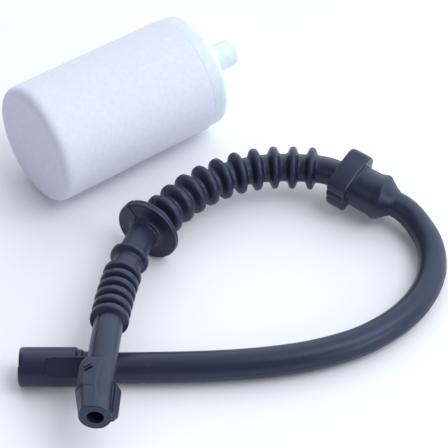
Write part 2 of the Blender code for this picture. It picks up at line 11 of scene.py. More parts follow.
import bmesh
import bpy
from bpy.props import FloatProperty, FloatVectorProperty, PointerProperty, StringProperty
from mathutils import Matrix, Vector, noise
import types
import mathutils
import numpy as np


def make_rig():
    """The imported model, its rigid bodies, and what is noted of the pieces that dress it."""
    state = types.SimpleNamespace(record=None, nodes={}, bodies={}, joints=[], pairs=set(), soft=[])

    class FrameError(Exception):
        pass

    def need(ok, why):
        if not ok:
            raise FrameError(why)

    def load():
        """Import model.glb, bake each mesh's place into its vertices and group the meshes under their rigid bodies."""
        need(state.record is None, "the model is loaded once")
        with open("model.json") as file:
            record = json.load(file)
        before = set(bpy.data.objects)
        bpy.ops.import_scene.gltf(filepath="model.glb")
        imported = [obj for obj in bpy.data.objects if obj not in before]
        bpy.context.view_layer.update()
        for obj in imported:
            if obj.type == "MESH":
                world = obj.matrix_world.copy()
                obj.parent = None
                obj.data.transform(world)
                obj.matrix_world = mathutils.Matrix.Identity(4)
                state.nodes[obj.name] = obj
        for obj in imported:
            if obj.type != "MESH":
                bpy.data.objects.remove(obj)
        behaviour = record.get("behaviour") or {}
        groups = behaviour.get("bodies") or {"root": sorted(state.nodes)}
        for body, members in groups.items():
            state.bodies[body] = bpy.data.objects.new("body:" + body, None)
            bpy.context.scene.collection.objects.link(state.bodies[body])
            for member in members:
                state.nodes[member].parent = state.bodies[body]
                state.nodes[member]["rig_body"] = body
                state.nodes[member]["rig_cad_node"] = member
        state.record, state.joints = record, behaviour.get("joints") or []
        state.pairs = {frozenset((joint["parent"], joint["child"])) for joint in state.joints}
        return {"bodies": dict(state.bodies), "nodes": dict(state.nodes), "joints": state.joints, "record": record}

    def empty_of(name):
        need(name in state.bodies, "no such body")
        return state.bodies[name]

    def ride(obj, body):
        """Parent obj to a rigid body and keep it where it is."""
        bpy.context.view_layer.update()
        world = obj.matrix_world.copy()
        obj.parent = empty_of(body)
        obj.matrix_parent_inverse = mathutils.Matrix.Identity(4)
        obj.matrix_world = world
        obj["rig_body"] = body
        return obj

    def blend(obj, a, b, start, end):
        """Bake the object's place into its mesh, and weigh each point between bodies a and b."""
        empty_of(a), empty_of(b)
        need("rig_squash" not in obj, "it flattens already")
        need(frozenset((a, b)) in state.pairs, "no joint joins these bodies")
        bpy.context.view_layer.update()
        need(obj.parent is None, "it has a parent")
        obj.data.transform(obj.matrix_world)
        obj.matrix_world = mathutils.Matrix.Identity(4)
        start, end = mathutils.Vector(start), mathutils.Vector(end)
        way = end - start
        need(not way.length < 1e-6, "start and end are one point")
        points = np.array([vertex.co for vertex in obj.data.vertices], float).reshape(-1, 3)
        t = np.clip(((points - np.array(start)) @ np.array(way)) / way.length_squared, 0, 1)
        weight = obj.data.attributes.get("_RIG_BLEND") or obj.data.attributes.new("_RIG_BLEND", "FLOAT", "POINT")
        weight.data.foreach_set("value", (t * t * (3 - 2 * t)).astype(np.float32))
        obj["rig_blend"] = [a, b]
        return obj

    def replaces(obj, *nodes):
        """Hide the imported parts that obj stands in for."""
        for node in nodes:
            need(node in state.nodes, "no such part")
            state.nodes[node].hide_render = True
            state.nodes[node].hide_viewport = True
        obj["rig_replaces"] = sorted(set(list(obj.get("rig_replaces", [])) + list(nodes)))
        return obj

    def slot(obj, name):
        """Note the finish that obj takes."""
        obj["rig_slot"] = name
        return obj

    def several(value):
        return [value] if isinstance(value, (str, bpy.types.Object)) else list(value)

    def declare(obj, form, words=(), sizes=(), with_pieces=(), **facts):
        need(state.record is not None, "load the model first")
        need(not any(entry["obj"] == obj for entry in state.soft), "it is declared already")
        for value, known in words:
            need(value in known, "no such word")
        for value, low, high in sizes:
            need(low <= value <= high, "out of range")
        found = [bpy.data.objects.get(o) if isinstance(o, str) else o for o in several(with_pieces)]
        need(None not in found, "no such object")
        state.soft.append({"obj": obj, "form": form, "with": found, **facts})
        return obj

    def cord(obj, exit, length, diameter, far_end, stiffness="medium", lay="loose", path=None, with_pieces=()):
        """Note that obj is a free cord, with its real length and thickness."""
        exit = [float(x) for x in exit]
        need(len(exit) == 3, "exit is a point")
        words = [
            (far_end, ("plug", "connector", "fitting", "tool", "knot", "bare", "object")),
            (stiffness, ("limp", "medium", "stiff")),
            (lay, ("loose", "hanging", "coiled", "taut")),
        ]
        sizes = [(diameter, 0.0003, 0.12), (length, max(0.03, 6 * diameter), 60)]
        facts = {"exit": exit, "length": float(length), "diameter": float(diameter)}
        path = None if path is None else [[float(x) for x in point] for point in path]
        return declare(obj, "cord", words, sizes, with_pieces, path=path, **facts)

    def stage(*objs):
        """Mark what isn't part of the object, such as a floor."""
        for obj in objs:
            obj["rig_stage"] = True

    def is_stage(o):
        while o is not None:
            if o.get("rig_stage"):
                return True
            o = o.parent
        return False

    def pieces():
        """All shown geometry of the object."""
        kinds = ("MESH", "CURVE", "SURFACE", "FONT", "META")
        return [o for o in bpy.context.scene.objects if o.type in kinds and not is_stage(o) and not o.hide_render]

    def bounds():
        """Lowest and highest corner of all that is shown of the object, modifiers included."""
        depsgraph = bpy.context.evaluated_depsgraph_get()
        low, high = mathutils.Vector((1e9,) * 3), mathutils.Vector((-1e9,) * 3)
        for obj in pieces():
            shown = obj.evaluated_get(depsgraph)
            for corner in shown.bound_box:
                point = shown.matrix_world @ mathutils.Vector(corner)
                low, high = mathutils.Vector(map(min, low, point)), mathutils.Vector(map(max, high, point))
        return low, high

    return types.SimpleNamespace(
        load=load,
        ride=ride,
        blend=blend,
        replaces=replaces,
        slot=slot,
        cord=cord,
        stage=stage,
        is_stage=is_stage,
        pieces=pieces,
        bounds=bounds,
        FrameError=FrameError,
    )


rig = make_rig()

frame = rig.load()
CAD_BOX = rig.bounds()

bl_info = {
    "name": "Fuel Filter and Line",
    "version": (1, 0, 0),
    "blender": (4, 5, 0),
    "location": "View3D > Sidebar > Fuel filter",
    "description": "Builds a felt fuel filter, its nylon cap and its moulded rubber line",
    "category": "Object",
}

MM = 0.001

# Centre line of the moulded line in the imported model, from the hose joint to the nozzle's tip.
# The heights follow what stands on its rim: the collar, the flange and the nozzle over the socket.
COLLAR_HEIGHT = 5.9
FLANGE_HEIGHT = 6.15
NOZZLE_HEIGHT = 10.76
CLIMB = NOZZLE_HEIGHT - FLANGE_HEIGHT
LINE_ROUTE = [
    (35.70, 9.85, COLLAR_HEIGHT - 1.50),
    (31.40, 11.92, COLLAR_HEIGHT - 0.75),
    (27.52, 14.37, COLLAR_HEIGHT),
    (24.21, 16.42, COLLAR_HEIGHT),
    (20.54, 17.27, COLLAR_HEIGHT),
    (13.49, 17.44, COLLAR_HEIGHT),
    (6.87, 15.82, (COLLAR_HEIGHT + FLANGE_HEIGHT) / 2),
    (0.96, 12.42, FLANGE_HEIGHT),
    (-3.77, 8.14, FLANGE_HEIGHT),
    (-9.37, 0.90, FLANGE_HEIGHT),
    (-12.27, -6.51, FLANGE_HEIGHT + 0.12 * CLIMB),
    (-13.89, -13.57, FLANGE_HEIGHT + 0.34 * CLIMB),
    (-15.02, -21.47, FLANGE_HEIGHT + 0.64 * CLIMB),
    (-15.75, -28.95, FLANGE_HEIGHT + 0.89 * CLIMB),
    (-16.35, -36.45, NOZZLE_HEIGHT),
    (-16.97, -47.28, NOZZLE_HEIGHT + 0.35),
]
LINE_STEPS = 12

# Centre line of the in-tank hose, from the grommet to the filter socket
HOSE_ROUTE = [
    (35.93, 9.75, 4.31),
    (37.40, 8.92, 3.92),
    (38.82, 7.57, 3.46),
    (40.35, 5.25, 3.00),
    (41.83, 1.62, 2.77),
    (42.33, -2.18, 2.64),
    (41.90, -6.38, 2.64),
    (40.50, -10.58, 2.69),
    (37.90, -14.88, 2.73),
    (34.10, -18.88, 2.77),
    (28.46, -22.72, 2.77),
    (21.36, -25.53, 2.79),
    (14.29, -27.15, 2.79),
    (7.52, -28.02, 2.79),
    (0.29, -28.51, 2.79),
    (-6.20, -28.70, 2.79),
    (-12.20, -28.88, 2.85),
    (-16.70, -29.08, 3.15),
    (-20.45, -29.23, 3.48),
]
HOSE_STEPS = 10

UP = Vector((0, 0, 1))


class CentreLine:
    """A smooth line through points in millimetres, read by the distance along it in metres."""

    def __init__(self, route, steps):
        knots = [Vector(point) * MM for point in route]
        knots = [2 * knots[0] - knots[1], *knots, 2 * knots[-1] - knots[-2]]
        self.points = []
        for before, start, end, after in zip(knots, knots[1:], knots[2:], knots[3:]):
            for step in range(steps):
                t = step / steps
                straight = 2 * start + (end - before) * t
                bend = (2 * before - 5 * start + 4 * end - after) * t**2
                twist = (3 * start - before - 3 * end + after) * t**3
                self.points.append((straight + bend + twist) / 2)
        self.points.append(knots[-2])
        self.stations = [0.0]
        for start, end in zip(self.points, self.points[1:]):
            self.stations.append(self.stations[-1] + (end - start).length)
        self.directions = []
        last = len(self.points) - 1
        for index in range(last + 1):
            span = self.points[min(index + 1, last)] - self.points[max(index - 1, 0)]
            self.directions.append(span.normalized())

    def at(self, station):
        """Point and direction at a station, straight on past either end."""
        index = min(max(bisect_right(self.stations, station) - 1, 0), len(self.points) - 2)
        length = self.stations[index + 1] - self.stations[index]
        share = (station - self.stations[index]) / length
        point = self.points[index].lerp(self.points[index + 1], share)
        inside = min(max(share, 0.0), 1.0)
        direction = self.directions[index].lerp(self.directions[index + 1], inside)
        return point, direction.normalized()

    def lay(self, local):
        """Where a point of the straight piece lies: X to the line's side, Y up, Z along it."""
        point, direction = self.at(local.z)
        side = UP.cross(direction).normalized()
        return point + side * local.x + direction.cross(side) * local.y


LINE = CentreLine(LINE_ROUTE, LINE_STEPS)
HOSE = CentreLine(HOSE_ROUTE, HOSE_STEPS)


def millimetres(name, description, default):
    """A length that the user can change, with its default in millimetres."""
    return FloatProperty(
        name=name, description=description, default=default * MM, unit="LENGTH"
    )


class FilterSizes(bpy.types.PropertyGroup):
    """Sizes of the felt cup and its cap, along the filter's axis from the closed end."""

    felt_od: millimetres("Felt diameter", "Closed end", 23.0)
    mouth_od: millimetres("Mouth diameter", "Open end of the felt", 22.5)
    felt_length: millimetres("Felt length", "Closed end to mouth", 33.2)
    felt_wall: millimetres("Felt wall", "Thickness of the felt", 2.7)
    felt_edge: millimetres("Felt edge", "Rounding of the closed end", 1.9)
    cap_od: millimetres("Cap diameter", "Outlet cap", 22.1)
    cap_skirt: millimetres("Cap skirt", "Length of the cap's rim", 3.4)
    nipple_length: millimetres("Nipple length", "From the cap's face", 8.2)
    nipple_base: millimetres("Nipple base", "Diameter at the cap", 6.2)
    nipple_tip: millimetres("Nipple tip", "Diameter at the end", 5.0)
    nipple_bore: millimetres("Nipple bore", "Fuel passage", 2.8)


class LineSizes(bpy.types.PropertyGroup):
    """Sizes of the moulded line, from the hose joint to the nozzle's tip."""

    bore: millimetres("Bore", "Fuel passage", 2.9)
    cone_length: millimetres("Cone length", "Lead-in of the grommet", 2.0)
    ridge_od: millimetres("Ridge diameter", "Retaining ridge", 8.6)
    ridge_width: millimetres("Ridge width", "Retaining ridge", 1.1)
    sleeve_od: millimetres("Sleeve diameter", "Grommet's sleeve", 7.8)
    sleeve_length: millimetres("Sleeve length", "Grommet's sleeve", 4.5)
    collar_corners: millimetres("Collar", "Across its corners", 11.8)
    collar_thickness: millimetres("Collar thickness", "Six-sided collar", 3.4)
    tail_length: millimetres("Tail length", "Plain tube", 4.25)
    large_pitch: millimetres("Large pitch", "Ring to ring", 3.44)
    large_od: millimetres("Large rings", "Diameter", 7.8)
    large_root: millimetres("Large root", "Tube between rings", 5.05)
    root_tube: millimetres("Root tube", "Behind the flange", 2.15)
    flange_od: millimetres("Flange diameter", "Wall flange", 12.1)
    flange_thickness: millimetres("Flange thickness", "Wall flange", 1.8)
    neck_length: millimetres("Neck length", "Flange to small rings", 11.5)
    neck_ring_at: millimetres("Neck ring", "From the flange's face", 7.8)
    small_pitch: millimetres("Small pitch", "Ring to ring", 2.52)
    small_od: millimetres("Small rings", "Diameter", 6.9)
    small_root: millimetres("Small root", "Tube between rings", 5.2)
    nozzle_length: millimetres("Nozzle length", "Rings to tip", 22.4)
    nozzle_tip: millimetres("Nozzle tip", "Diameter at the end", 5.7)
    cheek_width: millimetres("Cheek width", "From the bore's axis", 3.85)
    fin_width: millimetres("Fin width", "From the bore's axis", 3.75)


class HoseSizes(bpy.types.PropertyGroup):
    """Sizes of the in-tank hose and the socket on its end."""

    start_od: millimetres("Hose at grommet", "Diameter", 4.8)
    end_od: millimetres("Hose at socket", "Diameter", 5.5)
    socket_od: millimetres("Socket diameter", "Outside", 6.96)
    socket_length: millimetres("Socket length", "Along the hose", 10.2)
    socket_bore: millimetres("Socket bore", "Takes the nipple", 5.0)
    pad_width: millimetres("Pad width", "Flat on the socket", 3.8)


class Finishes(bpy.types.PropertyGroup):
    """Colours as sRGB hex values."""

    rubber: StringProperty(name="Rubber", description="Nitrile rubber", default="#23263a")
    felt: StringProperty(name="Felt", description="Bonded fibre felt", default="#dcdfed")
    nylon: StringProperty(name="Cap nylon", description="Natural nylon", default="#d9e1ea")
    core: StringProperty(name="Core nylon", description="White nylon", default="#e2e1da")
    mesh: StringProperty(name="Mesh", description="Woven nylon", default="#b9bec6")
    plug: StringProperty(name="Plug nylon", description="Grey nylon", default="#8f9499")
    steel: StringProperty(name="Steel", description="Zinc plated steel", default="#b9bcc0")
    floor: FloatVectorProperty(
        name="Floor",
        description="Pale bench",
        default=(0.90, 0.91, 0.93),
        subtype="COLOR",
        size=3,
    )


def sizes(group):
    return getattr(bpy.context.scene, group)


# ---------------------------------------------------------------- materials


def from_hex(code):
    """Linear colour of an sRGB hex value."""
    parts = [int(code[i : i + 2], 16) / 255 for i in (1, 3, 5)]
    linear = [c / 12.92 if c <= 0.04045 else ((c + 0.055) / 1.055) ** 2.4 for c in parts]
    return (*linear, 1.0)


def add_node(material, kind, links=(), **settings):
    """Adds a node, sets its named inputs or properties, and links (output, input) pairs to it."""
    tree = material.node_tree
    node = tree.nodes.new(kind)
    for name, value in settings.items():
        title = name.replace("_", " ").title() if name[0].isupper() else name
        if title in node.inputs:
            node.inputs[title].default_value = value
        else:
            setattr(node, name, value)
    for output, socket in links:
        tree.links.new(output, node.inputs[socket])
    return node


def new_material(name, colour, roughness, **settings):
    """A Principled material with its constant values, and its shader."""
    material = bpy.data.materials.new(name)
    material.use_nodes = True
    shader = material.node_tree.nodes["Principled BSDF"]
    shader.inputs["Base Color"].default_value = from_hex(colour)
    shader.inputs["Roughness"].default_value = roughness
    for socket, value in settings.items():
        shader.inputs[socket.replace("_", " ")].default_value = value
    return material, shader


def speckle(material, shader, base, darker, grain):
    """Varies the base colour a little between two shades at a grain size in metres."""
    place = add_node(material, "ShaderNodeTexCoord")
    grains = add_node(
        material,
        "ShaderNodeTexNoise",
        [(place.outputs["Object"], "Vector")],
        Scale=1 / grain,
        Detail=4.0,
        Roughness=0.6,
    )
    ramp = add_node(material, "ShaderNodeValToRGB", [(grains.outputs["Fac"], "Fac")])
    low, high = ramp.color_ramp.elements
    low.color, low.position = from_hex(darker), 0.3
    high.color, high.position = from_hex(base), 0.7
    material.node_tree.links.new(ramp.outputs["Color"], shader.inputs["Base Color"])
    return place


def relief(material, shader, place, grain, height, detail=3.0, before=None):
    """Bump of a grain size and height in metres, chained after another bump if given."""
    grains = add_node(
        material,
        "ShaderNodeTexNoise",
        [(place.outputs["Object"], "Vector")],
        Scale=1 / grain,
        Detail=detail,
        Roughness=0.55,
    )
    bump = add_node(
        material,
        "ShaderNodeBump",
        [(grains.outputs["Fac"], "Height")],
        Strength=1.0,
        Distance=height,
    )
    if before is not None:
        material.node_tree.links.new(before.outputs["Normal"], bump.inputs["Normal"])
    material.node_tree.links.new(bump.outputs["Normal"], shader.inputs["Normal"])
    return bump


def rough_patches(material, shader, place, grain, low, high):
    """Roughness that wanders between two values, as handled rubber has."""
    patches = add_node(
        material,
        "ShaderNodeTexNoise",
        [(place.outputs["Object"], "Vector")],
        Scale=1 / grain,
        Detail=2.0,
    )
    gloss = add_node(
        material,
        "ShaderNodeMapRange",
        [(patches.outputs["Fac"], "Value")],
        To_Min=low,
        To_Max=high,
    )
    material.node_tree.links.new(gloss.outputs["Result"], shader.inputs["Roughness"])


def moulded_nitrile_rubber():
    """Nitrile rubber from a fine-sparked mould: near black with a blue cast and a satin skin."""
    found = bpy.data.materials.get("moulded_nitrile_rubber")
    if found:
        return found
    colour = sizes("fuel_finishes").rubber
    material, shader = new_material(
        "moulded_nitrile_rubber",
        colour,
        0.4,
        IOR=1.45,
        Specular_IOR_Level=0.62,
        Specular_Tint=(0.62, 0.78, 1.0, 1.0),
    )
    place = speckle(material, shader, colour, "#1f2234", 1.6 * MM)
    rough_patches(material, shader, place, 2.5 * MM, 0.3, 0.42)
    skin = relief(material, shader, place, 0.9 * MM, 0.012 * MM)
    relief(material, shader, place, 0.14 * MM, 0.004 * MM, before=skin)
    return material


def bonded_fibre_felt():
    """White polyester felt bonded into a cup: matt and fine-grained, soft in its shading."""
    colour = sizes("fuel_finishes").felt
    material, shader = new_material(
        "bonded_fibre_felt",
        colour,
        0.95,
        Specular_IOR_Level=0.15,
        Sheen_Weight=0.25,
        Sheen_Roughness=0.6,
    )
    place = speckle(material, shader, colour, "#d4d8e7", 0.8 * MM)
    # real fibres are about 0.02 mm; they are drawn at 0.25 mm so that the felt reads as felt
    mats = relief(material, shader, place, 1.4 * MM, 0.03 * MM, detail=2.0)
    relief(material, shader, place, 0.25 * MM, 0.02 * MM, detail=4.0, before=mats)
    return material


def natural_nylon():
    """Uncoloured nylon as moulded: milky, a little see-through at its edges, with a soft gloss."""
    colour = sizes("fuel_finishes").nylon
    material, shader = new_material(
        "natural_nylon",
        colour,
        0.36,
        IOR=1.53,
        Subsurface_Weight=0.35,
        Subsurface_Scale=0.8 * MM,
        Subsurface_Radius=(1.0, 1.1, 1.2),
    )
    place = speckle(material, shader, colour, "#d0d9e3", 2.2 * MM)
    relief(material, shader, place, 0.5 * MM, 0.004 * MM)
    return material


def white_nylon():
    """White nylon of the core: plain moulding with faint flow marks."""
    colour = sizes("fuel_finishes").core
    material, shader = new_material("white_nylon", colour, 0.42, IOR=1.53)
    place = speckle(material, shader, colour, "#d8d7cf", 1.5 * MM)
    relief(material, shader, place, 0.4 * MM, 0.004 * MM)
    return material


def woven_nylon_mesh():
    """Fine nylon weave, drawn at a 0.3 mm thread spacing: cool grey with a dry sheen."""
    colour = sizes("fuel_finishes").mesh
    material, shader = new_material("woven_nylon_mesh", colour, 0.7, Sheen_Weight=0.2)
    place = speckle(material, shader, colour, "#a4aab3", 0.6 * MM)
    threads = add_node(
        material,
        "ShaderNodeTexVoronoi",
        [(place.outputs["Object"], "Vector")],
        Scale=1 / (0.3 * MM),
    )
    bump = add_node(
        material,
        "ShaderNodeBump",
        [(threads.outputs["Distance"], "Height")],
        Strength=1.0,
        Distance=0.05 * MM,
    )
    material.node_tree.links.new(bump.outputs["Normal"], shader.inputs["Normal"])
    return material


def grey_nylon():
    """Grey nylon of the end plug: satin moulding."""
    colour = sizes("fuel_finishes").plug
    material, shader = new_material("grey_nylon", colour, 0.45, IOR=1.53)
    place = speckle(material, shader, colour, "#858a90", 1.5 * MM)
    relief(material, shader, place, 0.4 * MM, 0.004 * MM)
    return material


def zinc_plated_steel():
    """Zinc plated steel: pale metal with a spangled, slightly dull plating."""
    colour = sizes("fuel_finishes").steel
    material, shader = new_material("zinc_plated_steel", colour, 0.32, Metallic=1.0)
    place = speckle(material, shader, colour, "#a5a9ae", 0.7 * MM)
    rough_patches(material, shader, place, 0.8 * MM, 0.25, 0.4)
    return material


# ---------------------------------------------------------------- shapes


def rounded(corners, steps=5):
    """Outline with rounded corners, from (radius, height, edge) corners; edge 0 stays sharp."""
    outline = []
    last = len(corners) - 1
    for index, (radius, height, edge) in enumerate(corners):
        corner = Vector((radius, height))
        if edge == 0 or index in (0, last):
            outline.append(corner)
            continue
        start = Vector(corners[index - 1][:2]) - corner
        end = Vector(corners[index + 1][:2]) - corner
        first = corner + start.normalized() * min(edge, start.length * 0.49)
        final = corner + end.normalized() * min(edge, end.length * 0.49)
        for step in range(steps + 1):
            t = step / steps
            outline.append(first.lerp(corner, t).lerp(corner.lerp(final, t), t))
    return outline


def filled(outline, step):
    """The outline with points added wherever two lie further apart than step."""
    dense = []
    for start, end in zip(outline, outline[1:]):
        count = max(1, math.ceil((end - start).length / step))
        dense += [start.lerp(end, i / count) for i in range(count)]
    return [*dense, outline[-1]]


def spread_angles(sides, seams=(), seam_half=0.0):
    """Angles round a turned piece, with a close pair of extra ones on each side of every seam."""
    angles = {2 * math.pi * side / sides for side in range(sides)}
    for seam in seams:
        for share in (-1.0, -0.35, 0.0, 0.35, 1.0):
            angles.add((seam + share * seam_half) % (2 * math.pi))
    kept = []
    for angle in sorted(angles):
        if not kept or angle - kept[-1] > 0.004:
            kept.append(angle)
    return kept


def turned(name, outline, angles, shape=None):
    """Skin turned about Z through an outline of (radius, height) points.

    The outline is a closed loop, or starts and ends on the axis. shape may change a point's
    radius and height by its angle.
    """
    builder = bmesh.new()
    rings = []
    for radius, height in outline:
        if radius < 1e-7:
            rings.append([builder.verts.new((0, 0, height))] * len(angles))
            continue
        ring = []
        for angle in angles:
            r, h = shape(radius, height, angle) if shape else (radius, height)
            ring.append(builder.verts.new((r * math.cos(angle), r * math.sin(angle), h)))
        rings.append(ring)
    on_axis = outline[0][0] < 1e-7
    following = rings[1:] if on_axis else rings[1:] + rings[:1]
    for ring, after in zip(rings, following):
        for side in range(len(angles)):
            other = (side + 1) % len(angles)
            corners = [ring[side], ring[other], after[other], after[side]]
            corners = list(dict.fromkeys(corners))
            if len(corners) > 2:
                builder.faces.new(corners)
    bmesh.ops.recalc_face_normals(builder, faces=builder.faces)
    mesh = bpy.data.meshes.new(name)
    builder.to_mesh(mesh)
    builder.free()
    return mesh


def lofted(name, sections):
    """Closed skin through sections, each a list of as many points."""
    builder = bmesh.new()
    rings = [[builder.verts.new(point) for point in section] for section in sections]
    for ring, after in zip(rings, rings[1:]):
        for side in range(len(ring)):
            other = (side + 1) % len(ring)
            builder.faces.new([ring[side], ring[other], after[other], after[side]])
    builder.faces.new(rings[0])
    builder.faces.new(rings[-1])
    bmesh.ops.recalc_face_normals(builder, faces=builder.faces)
    mesh = bpy.data.meshes.new(name)
    builder.to_mesh(mesh)
    builder.free()
    return mesh


def add_piece(name, mesh, material, sharp=math.radians(38)):
    """A smooth-shaded object with sharp edges where its faces turn far."""
    piece = bpy.data.objects.new(name, mesh)
    bpy.context.scene.collection.objects.link(piece)
    mesh.materials.clear()
    mesh.materials.append(material)
    mesh.shade_smooth()
    mesh.set_sharp_from_angle(angle=sharp)
    return piece


def lay_mesh(mesh, line):
    for vertex in mesh.vertices:
        vertex.co = line.lay(vertex.co)
    mesh.update()


def seam_step(angle, seam, half):
    """From -1 to 1 across a seam: which mould half an angle belongs to."""
    turn = (angle - seam + math.pi) % (2 * math.pi) - math.pi
    if abs(turn) > math.pi / 2:
        turn = math.copysign(math.pi, turn) - turn
    return max(-1.0, min(1.0, turn / half))


def seam_flash(angle, seam, half):
    """1 on a seam, falling to 0 at its half width, on both sides of the piece."""
    turn = abs((angle - seam + math.pi / 2) % math.pi - math.pi / 2)
    return max(0.0, 1 - turn / half)


# The two mould halves part on a plane through the line's axis, turned from upright.
LINE_SEAM = math.radians(128)
SEAM_HALF = math.radians(3.2)
SEAM_STEP = 0.045 * MM  # half of the offset between the mould halves
SEAM_GROOVE = 0.09 * MM
TUBE_GROOVE = 0.22 * MM  # the same groove where it crosses the nozzle's bare tube
FACE_GROOVE = 0.14 * MM  # and the flange's face
FACE_SLOPE = 0.06  # fall of each half of the flange's face away from the seam
LINE_ANGLES = spread_angles(96, (LINE_SEAM, LINE_SEAM + math.pi), SEAM_HALF)
PAD_TURN = math.radians(-42)  # the socket's pad, from the side that faces near
NIB_TURN = math.radians(-48)  # the key bar's turn on the nozzle's cheek
NIB_PLACE = Vector((-2.16, 2.75, -8.94))  # its middle in millimetres, from the tip

# Corners of the collar: two broad sides for the thumb, and two short ones beside each
COLLAR_CORNERS = [math.radians(angle) for angle in (-56, -23, 27, 124, 157, 207)]
COLLAR_GROOVES = [math.radians(angle) for angle in (9, -7)]
COLLAR_GROOVE = math.radians(4.5)
COLLAR_GROOVE_DEPTH = 0.22 * MM
COLLAR_CROWN = 0.22  # how far the collar's sides are crowned, from flat (0) to round (1)
COLLAR_FULL = 0.985  # where its corners are cut, as a share of the distance to them
CORNER_SHARPNESS = 26


def with_seam(radius, height, angle):
    """Outer skin as the two mould halves leave it: a slight step with a trimmed groove in it."""
    if radius <= sizes("fuel_line").bore / 2 + 0.01 * MM:
        return radius, height
    step = SEAM_STEP * seam_step(angle, LINE_SEAM, SEAM_HALF)
    return radius + step - SEAM_GROOVE * seam_flash(angle, LINE_SEAM, SEAM_HALF), height


def bore_back(low, high, step):
    """Inner side of the bore, from its low end up."""
    radius = sizes("fuel_line").bore / 2
    return filled([Vector((radius, low)), Vector((radius, high))], step)


def stations():
    """Where each stretch of the line begins, from its sizes."""
    line = sizes("fuel_line")
    marks = {"grommet": 0.0}
    marks["collar"] = line.cone_length + line.ridge_width + line.sleeve_length
    marks["tail"] = marks["collar"] + line.collar_thickness
    marks["large"] = marks["tail"] + line.tail_length
    marks["large_link"] = marks["large"] + 4 * line.large_pitch
    marks["large_wall"] = marks["large_link"] + line.large_pitch
    marks["wall"] = marks["large"] + 10 * line.large_pitch
    marks["flange_back"] = marks["wall"] + line.root_tube
    marks["flange_front"] = marks["flange_back"] + line.flange_thickness
    marks["small"] = marks["flange_front"] + line.neck_length
    marks["small_link"] = marks["small"] + 2 * line.small_pitch
    marks["small_nozzle"] = marks["small_link"] + line.small_pitch
    marks["nozzle"] = marks["small"] + 6 * line.small_pitch
    marks["tip"] = marks["nozzle"] + line.nozzle_length
    return marks


def ring_corners(middle, root, crest, base_width, crest_width, edges):
    """Corners of one bellows ring, running down its outer side."""
    foot_edge, crest_edge = edges
    return [
        (root, middle + base_width / 2, foot_edge),
        (crest, middle + crest_width / 2, crest_edge),
        (crest, middle - crest_width / 2, crest_edge),
        (root, middle - base_width / 2, foot_edge),
    ]


def large_ring(middle, share):
    """One large ring: slim near the grommet (share 0), fat near the flange (share 1)."""
    line = sizes("fuel_line")
    base = (2.0 + 0.75 * share) * MM
    crest = (0.85 + 0.4 * share) * MM
    edges = (0.3 * MM, (0.4 + 0.16 * share) * MM)
    return ring_corners(middle, line.large_root / 2, line.large_od / 2, base, crest, edges)


def small_ring(middle):
    line = sizes("fuel_line")
    edges = (0.2 * MM, 0.36 * MM)
    root = line.small_root / 2 - 0.2 * MM
    return ring_corners(middle, root, line.small_od / 2, 1.95 * MM, 1.3 * MM, edges)


def stand_in(piece, body, node, slot="fuel_rubber"):
    """Hangs a piece on its body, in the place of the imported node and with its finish."""
    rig.ride(piece, body)
    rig.replaces(piece, node)
    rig.slot(piece, slot)
    return piece


def line_piece(name, outline, body, node, shape=with_seam, blend=None, angles=None):
    """Turns a stretch of the line, lays it along the centre line and hangs it on its body."""
    mesh = turned(name, outline, angles or LINE_ANGLES, shape)
    lay_mesh(mesh, LINE)
    piece = add_piece(name, mesh, moulded_nitrile_rubber())
    if not blend:
        return stand_in(piece, body, node)
    start, end = (LINE.at(mark)[0] for mark in blend)
    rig.blend(piece, *body, start=start, end=end)
    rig.replaces(piece, node)
    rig.slot(piece, "fuel_rubber")
    return piece


# ---------------------------------------------------------------- operators


class FUEL_OT_camera(bpy.types.Operator):
    """Camera above the near side of the bench, looking down at the laid-out parts"""

    bl_idname = "fuel.camera"
    bl_label = "Camera"

    def execute(self, context):
        target = Vector((4.6, 8.72, 0.0)) * MM
        elevation = math.radians(46)
        distance = 500 * MM
        data = bpy.data.cameras.new("bench_camera")
        data.sensor_width = 36.0
        data.lens = 217.7
        camera = bpy.data.objects.new("bench_camera", data)
        context.scene.collection.objects.link(camera)
        back = Vector((0, -math.cos(elevation), math.sin(elevation)))
        camera.location = target + back * distance
        camera.rotation_euler = (math.pi / 2 - elevation, 0, 0)
        context.scene.camera = camera
        return {"FINISHED"}


